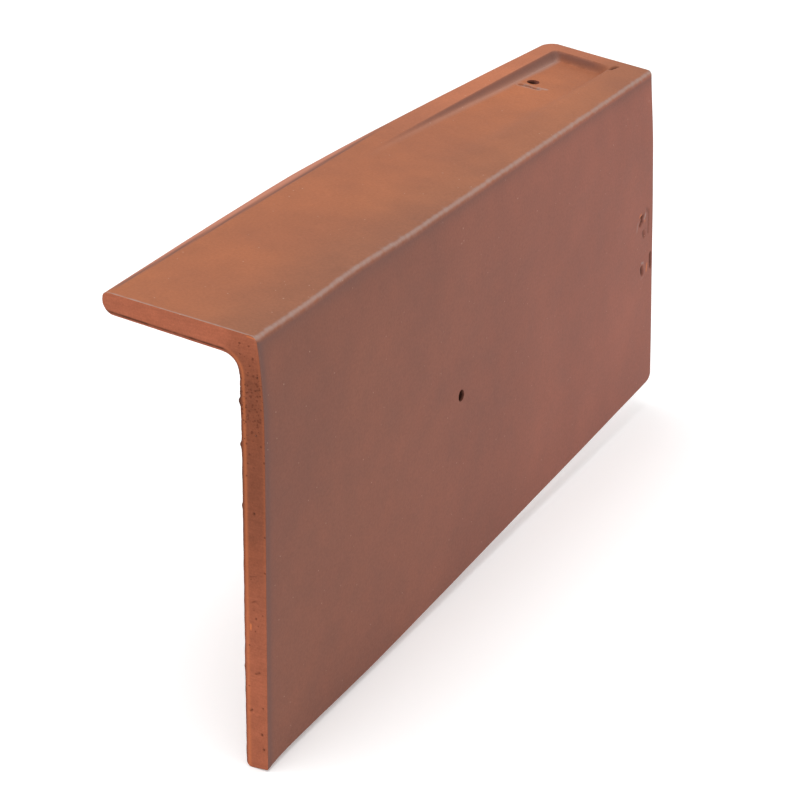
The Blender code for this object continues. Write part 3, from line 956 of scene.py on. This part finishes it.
class Surface:
    """Places and normals of the tile's points before relief, and which face each lies on."""

    def __init__(self, mesh, form):
        self.mesh = mesh
        self.form = form
        self.places = vectors_of(mesh.vertices, "co")
        self.normals = vectors_of(mesh.vertex_normals, "vector")
        self.x, self.y, self.z = self.places.T
        self.top = leg_top(form, self.y)
        facing_up = self.normals[:, 2] > FACING_UP
        self.on_top = facing_up & (self.z > self.top - TOP_SKIN) & (self.y > TOP_SKIN)
        self.on_face = (self.normals[:, 1] < -FACING_SIDE) & (self.z < -ARRIS_RADIUS)
        self.on_cut = (self.normals[:, 0] < -FACING_SIDE) & (self.x < TAIL_ZONE)
        self.crease = bump_at(self.y, crease_reach(self.x), CREASE_HALF_WIDTH) * crease_strength(self.x)
        across = np.hypot(self.x - form.length + LEG_HOLE_FROM_HEAD, self.y - LEG_HOLE_FROM_ARRIS)
        by_leg_hole = (across < form.leg_hole) & (self.z > -form.root_thickness)
        self.in_leg_hole = by_leg_hole & (np.abs(self.normals[:, 2]) < FACING_UP)
        underside = leg_underside(form, self.y)
        up_the_wall = np.clip((self.z - underside) / (self.top - underside), 0, 1)
        self.sinks = np.where(by_leg_hole, up_the_wall, self.on_top)
        self.recess = recess_drop(form, self.x, self.y)
        self.below_skin = self.top - self.z - self.recess * (1 - self.sinks)


def ragged_edge(surface, relief):
    """Push of the wire cut's inner edge: a fine wander, and the nubs of dragged clay."""
    form, x, y, z = surface.form, surface.x, surface.y, surface.z
    near_cut = np.clip(1 - (x - TAIL_EDGE_RADIUS) / RAGGED_RUN, 0, 1) * (x < TAIL_ZONE)
    below_skin = z < surface.top - form.lip_thickness * LEG_SKIN_SHARE
    inner_side = (y > apron_back(form, 0) - RAGGED_RUN) & below_skin
    chosen = np.flatnonzero((near_cut > 0) & inner_side)
    push = wander(surface.places[chosen], relief.ragged_size, relief.seed) * relief.ragged_depth
    nubs = sum(height * bump_at(-z[chosen], drop, NUB_HALF_LENGTH) for drop, height in NUBS)
    back = np.zeros(len(x))
    down = np.zeros(len(x))
    facing_back = np.clip(surface.normals[chosen, 1], 0, 1)
    facing_down = np.clip(-surface.normals[chosen, 2], 0, 1)
    back[chosen] = (push + nubs) * near_cut[chosen] * facing_back
    down[chosen] = push * near_cut[chosen] * facing_down * UNDERSIDE_RAGGED_SHARE
    return back, down


def sink_relief(surface, relief):
    """Sink the recess, crease and marks into the clay, and lift the arris hump."""
    form, x, y, z = surface.form, surface.x, surface.y, surface.z
    leg_depth = mark_depths(surface.places[:, :2], LEG_MARKS)[0]
    face_depth = mark_depths(surface.places[:, [0, 2]], APRON_MARKS)[0]
    cut_depth = mark_depths(surface.places[:, 1:], CUT_MARKS)[0]
    sunk = surface.recess + leg_depth + surface.crease * CREASE_DEPTH
    lifted = (z > -ARRIS_RADIUS * 2) & (surface.normals[:, 2] > -FACING_SIDE / 2)
    back, down = ragged_edge(surface, relief)
    z_new = z - sunk * surface.sinks + np.where(lifted, hump(x, y), 0.0) - down
    y_new = y + np.where(surface.on_face, face_depth, 0.0) + back
    x_new = x + np.where(surface.on_cut, cut_depth, 0.0)
    surface.mesh.vertices.foreach_set("co", np.column_stack((x_new, y_new, z_new)).ravel())
    surface.mesh.update()


def store_skin_masks(surface):
    """Keep where the pressed faces are worn, creased, hollow or darker."""
    form, x, y, z = surface.form, surface.x, surface.y, surface.z
    on_top, on_face = surface.on_top, surface.on_face
    _, leg_hollow_shade, leg_raised = mark_depths(surface.places[:, :2], LEG_MARKS)
    _, face_hollow_shade, face_raised = mark_depths(surface.places[:, [0, 2]], APRON_MARKS)
    from_tail = x - np.array([tail_end(form, -height) for height in z])
    beside_lip = z > surface.top - form.lip_thickness * LEG_SKIN_SHARE
    outside_crease = soft_step((y - crease_reach(x)) / LIP_HIGHLIGHT_RUN)
    wall, band, rim = recess_tones(form, x, y)
    tail_wear = bump_at(from_tail, 0.0, TAIL_EDGE_WEAR_REACH) * on_top * TAIL_EDGE_WEAR_SHARE
    store_masks(surface.mesh, {
        "arris_wear": np.maximum(bump_at(np.hypot(y, z), 0.0, ARRIS_WEAR_REACH), tail_wear),
        "arris_shade": bump_at(-z, ARRIS_SHADE_DROP, ARRIS_SHADE_HALF) * on_face,
        "arris_brown": bump_at(y, 0.0, ARRIS_BROWN_REACH) * on_top,
        "leg_side": soft_step(surface.normals[:, 2] / FACING_UP) * beside_lip,
        # The crease's painted shade, and the painted highlight on the lip outside it.
        "crease": surface.crease * on_top,
        "lip": outside_crease * crease_strength(x) * beside_lip,
        # Painted shade in the hollows of the marks.
        "hollow": leg_hollow_shade * on_top + face_hollow_shade * on_face,
        # Pale raised parts of the marks, partly a painted highlight.
        "raised": leg_raised * on_top + face_raised * on_face,
        "fleck": fleck_mask(surface.places[:, [0, 2]], FACE_FLECKS) * on_face,
        "hole_painted_shade": hole_painted_shade(surface),
        # Painted shade on the recess wall, and the pale band along its foot.
        "recess_wall": wall * on_top,
        "recess_band": band * on_top,
        "recess_rim": rim * on_top,
        "tail_edge_shade_line": bump_at(from_tail, FACE_EDGE_SHADE_AT, FACE_EDGE_SHADE_SPREAD) * on_face,
        "edge_strip": bump_at(from_tail, 0.0, FACE_EDGE_STRIP) * on_face,
    })


def store_cut_masks(surface):
    """Keep where the wire cut is torn or duller, where painted highlights run along its edges, and where
    painted shade and stains darken its edges.
    """
    form, y, z = surface.form, surface.y, surface.z
    drop = -z
    on_apron = 1 - soft_step((y - apron_back(form, 0)) / INNER_FILLET)
    torn = bump_at(drop, TORN_BAND_DROP, TORN_BAND_HALF) * on_apron
    fades = soft_step((drop - CUT_SHADE_FADES) / (CUT_SHADE_GONE - CUT_SHADE_FADES))
    shade = soft_step((drop - CUT_SHADE_FROM) / (CUT_SHADE_FULL - CUT_SHADE_FROM)) * (1 - fades)
    shade = CUT_SHADE_LEAST + (1 - CUT_SHADE_LEAST) * shade
    behind_back = np.clip(apron_back(form, drop) - y + INNER_FILLET, 0, None)
    above_underside = np.clip(z - leg_underside(form, y) + INNER_FILLET, 0, None)
    inside = np.hypot(behind_back, above_underside) - INNER_FILLET
    from_face = y + np.array([face_swell(height) for height in drop])
    # Painted highlight: a band inside the cut's inner edge, and a fainter one along its face edge.
    band = bump_at(inside, CUT_HIGHLIGHT_INSIDE, CUT_HIGHLIGHT_HALF_WIDTH) * on_apron
    band += bump_at(from_face, CUT_HIGHLIGHT_HALF_WIDTH, CUT_HIGHLIGHT_HALF_WIDTH) * shade * CUT_FACE_HIGHLIGHT_SHARE
    # Painted shade right at the cut's inner edge, and stains in a band above the leg's underside.
    burr_shade = (1 - soft_step(inside / CUT_BURR_SHADE_WIDTH)) * on_apron
    stain = bump_at(inside, UNDERSIDE_STAIN_ABOVE, UNDERSIDE_STAIN_HALF_WIDTH) * (1 - on_apron)
    store_masks(surface.mesh, {
        "pressed": ~surface.on_cut,
        "torn": torn * surface.on_cut,
        "cut_apron": on_apron,
        "cut_shade": shade * on_apron,
        "cut_edge_highlight": band,
        "cut_edge_shade_and_stain": np.maximum(burr_shade, stain),
        "cut_mark_shade": mark_depths(surface.places[:, 1:], CUT_MARKS)[1] * surface.on_cut,
        "cut_fleck": fleck_mask(surface.places[:, 1:], CUT_FLECKS) * surface.on_cut,
    })


def shape_surface(tile, form, relief):
    """Give the smooth form its relief, and keep the masks that the materials read."""
    surface = Surface(tile.data, form)
    sink_relief(surface, relief)
    store_skin_masks(surface)
    store_cut_masks(surface)


def mark_cut_faces(mesh):
    """Name the faces of the wire cut, which take the cut clay's material."""
    along = vectors_of(mesh.polygons, "center")[:, 0]
    facing = vectors_of(mesh.polygons, "normal")[:, 0]
    layer = mesh.attributes.new("cut_face", "BOOLEAN", "FACE")
    layer.data.foreach_set("value", (facing < FACING_TAIL) & (along < TAIL_ZONE))


def new_node(tree, kind, **settings):
    node = tree.nodes.new(kind)
    for name, value in settings.items():
        setattr(node, name, value)
    return node


def feed(tree, socket, value):
    """Join a socket to another node's output, or set its plain value."""
    if isinstance(value, bpy.types.NodeSocket):
        tree.links.new(value, socket)
    else:
        socket.default_value = value


def fed(tree, node, **values):
    """Feed a node's inputs by name, with underscores for spaces, and give its outputs."""
    for name, value in values.items():
        feed(tree, node.inputs[name.replace("_", " ")], value)
    return node.outputs


def maths(tree, operation, first, second=0.0, clamp=False):
    node = new_node(tree, "ShaderNodeMath", operation=operation, use_clamp=clamp)
    feed(tree, node.inputs[0], first)
    feed(tree, node.inputs[1], second)
    return node.outputs[0]


def scaled_and_raised(tree, value, scale, start):
    return maths(tree, "ADD", maths(tree, "MULTIPLY", value, scale), start)


def ramp_along(tree, value, start, end):
    """Share from 0 to 1 as a value goes from start to end."""
    node = new_node(tree, "ShaderNodeMapRange", interpolation_type="SMOOTHSTEP")
    return fed(tree, node, Value=value, From_Min=start, From_Max=end)["Result"]


def declare(tree, direction, kind, name, value=None):
    """Add one named input or output to a tree."""
    socket = tree.interface.new_socket(name=name, in_out=direction, socket_type=kind)
    if value is not None:
        socket.default_value = value
    return socket


def noise_field(tree, vector, scale, detail, seed=0.0):
    node = new_node(tree, "ShaderNodeTexNoise", noise_dimensions="4D")
    return fed(tree, node, Vector=vector, W=seed, Scale=scale, Detail=detail)["Fac"]


def named_mask(tree, name, kind="FLOAT"):
    """A stored mask, read inside a Geometry Nodes tree."""
    node = new_node(tree, "GeometryNodeInputNamedAttribute", data_type=kind)
    return fed(tree, node, Name=name)["Attribute"]


def along_vector(tree, vector, length):
    """A vector, or a colour, made longer or shorter."""
    node = new_node(tree, "ShaderNodeVectorMath", operation="SCALE")
    feed(tree, node.inputs[0], vector)
    return fed(tree, node, Scale=length)[0]


def clay_relief_tree(sizes, materials):
    """Geometry Nodes tree: soft swells on pressed faces, torn stipple on the wire cut."""
    tree = bpy.data.node_groups.new("Clay Relief", "GeometryNodeTree")
    tree.is_modifier = True
    declare(tree, "INPUT", "NodeSocketGeometry", "Geometry")
    for name, value in sizes.items():
        declare(tree, "INPUT", "NodeSocketFloat", name, value)
    for name, material in materials.items():
        declare(tree, "INPUT", "NodeSocketMaterial", name, material)
    declare(tree, "OUTPUT", "NodeSocketGeometry", "Geometry")
    given = new_node(tree, "NodeGroupInput").outputs
    place = new_node(tree, "GeometryNodeInputPosition").outputs[0]
    normal = new_node(tree, "GeometryNodeInputNormal").outputs[0]
    pressed = named_mask(tree, "pressed")
    torn = named_mask(tree, "torn")

    swell_scale = maths(tree, "DIVIDE", 1.0, given["Swell Size"])
    swell = noise_field(tree, place, swell_scale, detail=1.5, seed=given["Seed"])
    swell_depth = maths(tree, "MULTIPLY", swell, given["Swell Depth"])
    swell_depth = maths(tree, "MULTIPLY", swell_depth, pressed)

    stipple_scale = maths(tree, "DIVIDE", 1.0, given["Stipple Size"])
    stipple = noise_field(tree, place, stipple_scale, detail=1.0, seed=given["Seed"])
    hollow = maths(tree, "SUBTRACT", stipple, STIPPLE_LEVEL, clamp=True)
    hollow = maths(tree, "DIVIDE", hollow, 1 - STIPPLE_LEVEL)
    strength = scaled_and_raised(tree, torn, 1 - STIPPLE_ELSEWHERE, STIPPLE_ELSEWHERE)
    strength = maths(tree, "MULTIPLY", strength, maths(tree, "SUBTRACT", 1.0, pressed))
    torn_depth = maths(tree, "MULTIPLY", hollow, given["Stipple Depth"])
    torn_depth = maths(tree, "MULTIPLY", torn_depth, strength)

    sink = maths(tree, "MULTIPLY", maths(tree, "ADD", swell_depth, torn_depth), -1.0)
    cut_faces = named_mask(tree, "cut_face", "BOOLEAN")
    geometry = given["Geometry"]
    for kind, values in (
            ("GeometryNodeSetPosition", {"Offset": along_vector(tree, normal, sink)}),
            ("GeometryNodeRealizeInstances", {}),
            ("GeometryNodeSetMaterial", {"Material": given["Skin"]}),
            ("GeometryNodeSetMaterial", {"Material": given["Cut"], "Selection": cut_faces})):
        geometry = fed(tree, new_node(tree, kind), Geometry=geometry, **values)["Geometry"]
    fed(tree, new_node(tree, "NodeGroupOutput"), Geometry=geometry)
    return tree


def apply_relief(tile, relief, skin, cut):
    """Run the relief tree on the tile with the user's sizes, and bake it."""
    sizes = {
        "Swell Depth": relief.swell_depth,
        "Swell Size": relief.swell_size,
        "Stipple Depth": relief.stipple_depth,
        "Stipple Size": relief.stipple_size,
        "Seed": float(relief.seed),
    }
    materials = {"Skin": skin, "Cut": cut}
    values = sizes | materials
    tree = clay_relief_tree(sizes, materials)
    modifier = tile.modifiers.new("Clay Relief", "NODES")
    modifier.node_group = tree
    for socket in tree.interface.items_tree:
        if socket.in_out == "INPUT" and socket.name in values:
            modifier[socket.identifier] = values[socket.name]
    bake_modifiers(tile)


def shader_group(name, inputs, outputs):
    """Shader node group that reads a place and named numbers, with its input and output sockets."""
    tree = bpy.data.node_groups.new(name, "ShaderNodeTree")
    declare(tree, "INPUT", "NodeSocketVector", "Vector")
    for socket_name in inputs:
        declare(tree, "INPUT", "NodeSocketFloat", socket_name)
    for socket_name in outputs:
        declare(tree, "OUTPUT", "NodeSocketFloat", socket_name)
    given = new_node(tree, "NodeGroupInput").outputs
    back = new_node(tree, "NodeGroupOutput").inputs
    return tree, given, back


def kiln_mottle_group():
    """Broad soft patches and finer clouding left by the kiln, from 0 to 1."""
    tree, given, back = shader_group(
        "Kiln Mottle", ["Patch Scale", "Cloud Scale", "Seed"], ["Patches", "Clouds"])
    patches = noise_field(tree, given["Vector"], given["Patch Scale"], detail=2.0, seed=given["Seed"])
    clouds = noise_field(tree, given["Vector"], given["Cloud Scale"], detail=4.0, seed=given["Seed"])
    feed(tree, back["Patches"], ramp_along(tree, patches, PATCHES_FROM, PATCHES_TO))
    feed(tree, back["Clouds"], clouds)
    return tree


def toned_relief_group(name, stretch, detail):
    """Fine noise, drawn out by a stretch: a tone around one and a height."""
    tree, given, back = shader_group(name, ["Scale", "Strength"], ["Tone", "Height"])
    stretched = new_node(tree, "ShaderNodeVectorMath", operation="MULTIPLY")
    feed(tree, stretched.inputs[0], given["Vector"])
    feed(tree, stretched.inputs[1], stretch)
    height = noise_field(tree, stretched.outputs[0], given["Scale"], detail=detail)
    centred = maths(tree, "SUBTRACT", height, NOISE_MIDDLE)
    feed(tree, back["Tone"], scaled_and_raised(tree, centred, given["Strength"], 1.0))
    feed(tree, back["Height"], height)
    return tree


def specks_group():
    """Scattered round grains or pits: a mask that is one on each."""
    tree, given, back = shader_group("Specks", ["Cells", "Share", "Radius"], ["Mask"])
    cells = new_node(tree, "ShaderNodeTexVoronoi", feature="F1")
    found = fed(tree, cells, Vector=given["Vector"], Scale=given["Cells"])
    split = new_node(tree, "ShaderNodeSeparateColor")
    feed(tree, split.inputs[0], found["Color"])
    chosen = maths(tree, "LESS_THAN", split.outputs[0], given["Share"])
    size = maths(tree, "MULTIPLY", given["Radius"], maths(tree, "ADD", split.outputs[1], SPECK_LEAST))
    near = ramp_along(tree, found["Distance"], size, maths(tree, "MULTIPLY", size, SPECK_CORE))
    feed(tree, back["Mask"], maths(tree, "MULTIPLY", near, chosen))
    return tree


def rubbed_group():
    """A stored wear mask broken up by fine noise, as rubbing leaves it."""
    tree, given, back = shader_group("Rubbed", ["Mask", "Break Scale", "Strength"], ["Mask"])
    broken = noise_field(tree, given["Vector"], given["Break Scale"], detail=4.0)
    uneven = maths(tree, "MULTIPLY", maths(tree, "SUBTRACT", broken, NOISE_MIDDLE), RUB_UNEVENNESS)
    spread = ramp_along(tree, maths(tree, "ADD", given["Mask"], uneven), RUB_FROM, RUB_TO)
    feed(tree, back["Mask"], maths(tree, "MULTIPLY", spread, given["Strength"]))
    return tree


def use_group(tree, group, **values):
    """Place a shader group in a material and give it its values by socket name."""
    return fed(tree, new_node(tree, "ShaderNodeGroup", node_tree=group), **values)


def blend_colours(tree, share, first, second):
    node = new_node(tree, "ShaderNodeMix", data_type="RGBA")
    feed(tree, node.inputs["Factor"], share)
    for socket, colour in ((node.inputs[6], first), (node.inputs[7], second)):
        if isinstance(colour, bpy.types.NodeSocket):
            tree.links.new(colour, socket)
        else:
            socket.default_value = (*colour, 1.0)
    return node.outputs[2]


def stored(tree, name):
    return new_node(tree, "ShaderNodeAttribute", attribute_name=name).outputs["Fac"]


def new_material(name):
    material = bpy.data.materials.new(name)
    material.use_nodes = True
    tree = material.node_tree
    return material, tree, tree.nodes["Principled BSDF"]


def bumped(tree, height, strength):
    node = new_node(tree, "ShaderNodeBump")
    return fed(tree, node, Strength=strength, Distance=BUMP_DISTANCE, Height=height)["Normal"]


def laid_over(tree, base, mask, strength, colour):
    share = maths(tree, "MULTIPLY", mask, strength, clamp=True)
    return blend_colours(tree, share, base, colour)


def layered(tree, base, layers, clay, **made):
    """Base colour under its layers in turn. A layer's mask is one made here, or else a stored one."""
    for layer in layers:
        mask = made.get(layer.mask) or stored(tree, layer.mask)
        base = laid_over(tree, base, mask, layer.strength, getattr(clay, layer.colour))
    return base


def fired_skin_material(clay, groups):
    """Pressed faces: kiln flashing, sandy grain, pale specks, the worn arris, the lip's painted highlight,
    and painted shade in the crease, on the recess wall, in the marks and in the nail holes.
    """
    material, tree, shader = new_material("fired_skin")
    place = new_node(tree, "ShaderNodeTexCoord").outputs["Object"]
    axes = new_node(tree, "ShaderNodeSeparateXYZ")
    feed(tree, axes.inputs[0], place)
    mottle = use_group(tree, groups["mottle"], Vector=place, Patch_Scale=11.0, Cloud_Scale=70.0, Seed=3.0)
    grain = use_group(tree, groups["grain"], Vector=place, Scale=850.0, Strength=0.35)
    specks = use_group(tree, groups["specks"], Vector=place, Cells=420.0, Share=0.07, Radius=0.15)["Mask"]
    wear = stored(tree, "arris_wear")
    rubbed = use_group(
        tree, groups["rubbed"], Vector=place, Mask=wear, Break_Scale=300.0, Strength=0.85)["Mask"]

    along = ramp_along(tree, axes.outputs["X"], TILE_LOW.x, TILE_HIGH.x)
    face = blend_colours(tree, along, clay.face_tail, clay.face_head)
    fades = scaled_and_raised(tree, along, scale=-0.2, start=0.9)
    brown = maths(tree, "MULTIPLY", stored(tree, "arris_brown"), fades)
    top = blend_colours(tree, brown, clay.top, clay.top_brown)
    top = along_vector(tree, top, scaled_and_raised(tree, along, scale=0.15, start=1.01))
    top = blend_colours(tree, stored(tree, "recess_rim"), top, clay.rim)
    base = blend_colours(tree, stored(tree, "leg_side"), face, top)
    base = laid_over(tree, base, mottle["Patches"], SKIN_FLASH, clay.flash)
    base = along_vector(tree, base, scaled_and_raised(tree, mottle["Clouds"], scale=0.3, start=0.85))
    base = along_vector(tree, base, grain["Tone"])
    base = layered(tree, base, SKIN_LAYERS, clay, rubbed=rubbed, specks=specks)
    height = maths(tree, "ADD", grain["Height"], maths(tree, "MULTIPLY", specks, SPECK_HEIGHT))
    fed(tree, shader, Base_Color=base, Specular_IOR_Level=SKIN_GLOSS,
        Roughness=scaled_and_raised(tree, mottle["Clouds"], scale=0.2, start=0.6),
        Normal=bumped(tree, height, strength=0.35))
    return material


def wire_cut_material(clay, groups):
    """The tail's torn face: bare orange clay, pits darkened by painted shade, and fine drag lines."""
    material, tree, shader = new_material("wire_cut")
    place = new_node(tree, "ShaderNodeTexCoord").outputs["Object"]
    mottle = use_group(tree, groups["mottle"], Vector=place, Patch_Scale=40.0, Cloud_Scale=180.0, Seed=5.0)
    grain = use_group(tree, groups["grain"], Vector=place, Scale=1100.0, Strength=0.5)
    lines = use_group(tree, groups["lines"], Vector=place, Scale=1100.0, Strength=0.3)
    few = maths(tree, "MULTIPLY", stored(tree, "cut_apron"), PIT_SHARE)
    many = maths(tree, "ADD", maths(tree, "MULTIPLY", stored(tree, "torn"), TORN_SHARE), few)
    stipple = use_group(tree, groups["specks"], Vector=place, Cells=700.0, Share=many, Radius=0.34)["Mask"]
    pits = use_group(tree, groups["specks"], Vector=place, Cells=300.0, Share=few, Radius=0.15)["Mask"]
    wear = stored(tree, "arris_wear")
    rubbed = use_group(
        tree, groups["rubbed"], Vector=place, Mask=wear, Break_Scale=500.0, Strength=0.7)["Mask"]
    broken = scaled_and_raised(tree, mottle["Clouds"], scale=3.0, start=-0.5)
    # Painted shade and stains along the cut's edges, broken up by clouding.
    stain = maths(tree, "MULTIPLY", stored(tree, "cut_edge_shade_and_stain"), broken, clamp=True)

    base = blend_colours(tree, stored(tree, "cut_shade"), clay.cut, clay.cut_shade)
    base = laid_over(tree, base, mottle["Patches"], CUT_FLASH, clay.flash)
    base = along_vector(tree, base, scaled_and_raised(tree, mottle["Clouds"], scale=0.4, start=0.8))
    base = along_vector(tree, along_vector(tree, base, grain["Tone"]), lines["Tone"])
    base = layered(
        tree, base, CUT_LAYERS, clay, stain=stain, stipple=stipple, pits=pits, rubbed=rubbed)
    height = maths(tree, "SUBTRACT", maths(tree, "ADD", grain["Height"], lines["Height"]), stipple)
    fed(tree, shader, Base_Color=base, Specular_IOR_Level=CUT_GLOSS, Roughness=CUT_ROUGHNESS,
        Normal=bumped(tree, height, strength=0.5))
    return material


def seat_point(form):
    return Vector((SEAT_FROM_TAIL, SEAT_FROM_ARRIS, leg_underside(form, SEAT_FROM_ARRIS)))


class VERGETILE_OT_build_tile(bpy.types.Operator):
    """Build the fired-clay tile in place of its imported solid"""

    bl_idname = "verge_tile.build_tile"
    bl_label = "Build Clay Tile"

    def execute(self, context):
        form = context.scene.verge_tile_form
        relief = context.scene.verge_tile_relief
        clay = context.scene.verge_tile_clay
        shape = tile_loft(form)
        refine_worn_places(shape, form)
        mesh = bpy.data.meshes.new("clay_tile")
        shape.to_mesh(mesh)
        shape.free()
        tile = bpy.data.objects.new("clay_tile", mesh)
        context.scene.collection.objects.link(tile)
        cut_nail_holes(tile, form)
        shape_surface(tile, form, relief)
        mark_cut_faces(tile.data)
        tile.data.transform(Matrix.Translation(-seat_point(form)))

        groups = {
            "mottle": kiln_mottle_group(),
            "grain": toned_relief_group("Sand Grain", stretch=NO_STRETCH, detail=3.0),
            "lines": toned_relief_group("Drag Lines", stretch=LINE_STRETCH, detail=2.0),
            "specks": specks_group(),
            "rubbed": rubbed_group(),
        }
        skin = fired_skin_material(clay, groups)
        cut = wire_cut_material(clay, groups)
        apply_relief(tile, relief, skin, cut)
        tile.data.shade_smooth()
        tile.data.set_sharp_from_angle(angle=SHARP_ANGLE)
        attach(tile, "root")
        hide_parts(TILE_NODE)
        return {"FINISHED"}


def build_floor(stage):
    """Round plain floor that the foot just touches."""
    shape = bmesh.new()
    bmesh.ops.create_circle(shape, cap_ends=True, segments=FLOOR_SIDES, radius=stage.floor_radius)
    mesh = bpy.data.meshes.new("floor")
    shape.to_mesh(mesh)
    shape.free()
    mesh.transform(Matrix.Translation((0, 0, TILE_LOW.z)))
    floor = bpy.data.objects.new("floor", mesh)
    bpy.context.scene.collection.objects.link(floor)
    material, tree, shader = new_material("pale_floor")
    fed(tree, shader, Base_Color=(*stage.floor_colour, 1.0), Roughness=FLOOR_ROUGHNESS,
        Emission_Color=WHITE, Emission_Strength=stage.floor_glow)
    mesh.materials.append(material)


def add_light(name, power, size, place, target):
    lamp = bpy.data.lights.new(name, "AREA")
    lamp.energy = power
    lamp.size = size
    light = bpy.data.objects.new(name, lamp)
    light.location = place
    light.rotation_euler = (target - place).to_track_quat("-Z", "Y").to_euler()
    bpy.context.scene.collection.objects.link(light)


def add_sky(strength):
    world = bpy.data.worlds.new("studio")
    world.use_nodes = True
    fed(world.node_tree, world.node_tree.nodes["Background"], Color=WHITE, Strength=strength)
    bpy.context.scene.world = world


def add_camera():
    lens = bpy.data.cameras.new("camera")
    lens.sensor_width = SENSOR_WIDTH_MM
    lens.lens = FOCAL_PIXELS * SENSOR_WIDTH_MM / IMAGE_SIDE
    lens.shift_x = (IMAGE_SIDE / 2 - AXIS_PIXEL[0]) / IMAGE_SIDE
    lens.shift_y = (AXIS_PIXEL[1] - IMAGE_SIDE / 2) / IMAGE_SIDE
    lens.clip_end = CAMERA_FAR
    camera = bpy.data.objects.new("camera", lens)
    camera.location = CAMERA_PLACE
    camera.rotation_euler = (math.pi / 2 - CAMERA_ELEVATION, 0, CAMERA_AZIMUTH)
    bpy.context.scene.collection.objects.link(camera)
    bpy.context.scene.camera = camera


class VERGETILE_OT_build_stage(bpy.types.Operator):
    """Build the plain floor, the soft light and the camera"""

    bl_idname = "verge_tile.build_stage"
    bl_label = "Build Stage"

    def execute(self, context):
        stage = context.scene.verge_tile_stage
        centre = (TILE_LOW + TILE_HIGH) / 2
        build_floor(stage)
        add_sky(stage.sky_strength)
        add_light("key", stage.key_power, KEY_SIZE, centre + KEY_PLACE, centre)
        add_light("fill", stage.fill_power, FILL_SIZE, centre + FILL_PLACE, centre)
        add_camera()
        context.scene.view_settings.view_transform = "Standard"
        return {"FINISHED"}


class VERGETILE_PT_panel(bpy.types.Panel):
    """Sizes, colours and buttons of the verge tile"""

    bl_label = "Verge Tile"
    bl_idname = "VERGETILE_PT_panel"
    bl_space_type = "VIEW_3D"
    bl_region_type = "UI"
    bl_category = "Verge Tile"

    def draw(self, context):
        layout = self.layout
        for group_name in GROUPS:
            box = layout.box()
            group = getattr(context.scene, group_name)
            for name in group.__annotations__:
                box.prop(group, name)
        layout.operator(VERGETILE_OT_build_tile.bl_idname)
        layout.operator(VERGETILE_OT_build_stage.bl_idname)


GROUPS = {
    "verge_tile_form": VergeTileForm,
    "verge_tile_relief": VergeTileRelief,
    "verge_tile_clay": VergeTileClay,
    "verge_tile_stage": VergeTileStage,
}
CLASSES = (*GROUPS.values(), VERGETILE_OT_build_tile, VERGETILE_OT_build_stage, VERGETILE_PT_panel)


def register():
    for item in CLASSES:
        bpy.utils.register_class(item)
    for name, group in GROUPS.items():
        setattr(bpy.types.Scene, name, bpy.props.PointerProperty(type=group))


def unregister():
    for name in GROUPS:
        delattr(bpy.types.Scene, name)
    for item in reversed(CLASSES):
        bpy.utils.unregister_class(item)


def main():
    register()
    bpy.ops.verge_tile.build_tile()
    bpy.ops.verge_tile.build_stage()


if __name__ == "__main__":
    main()
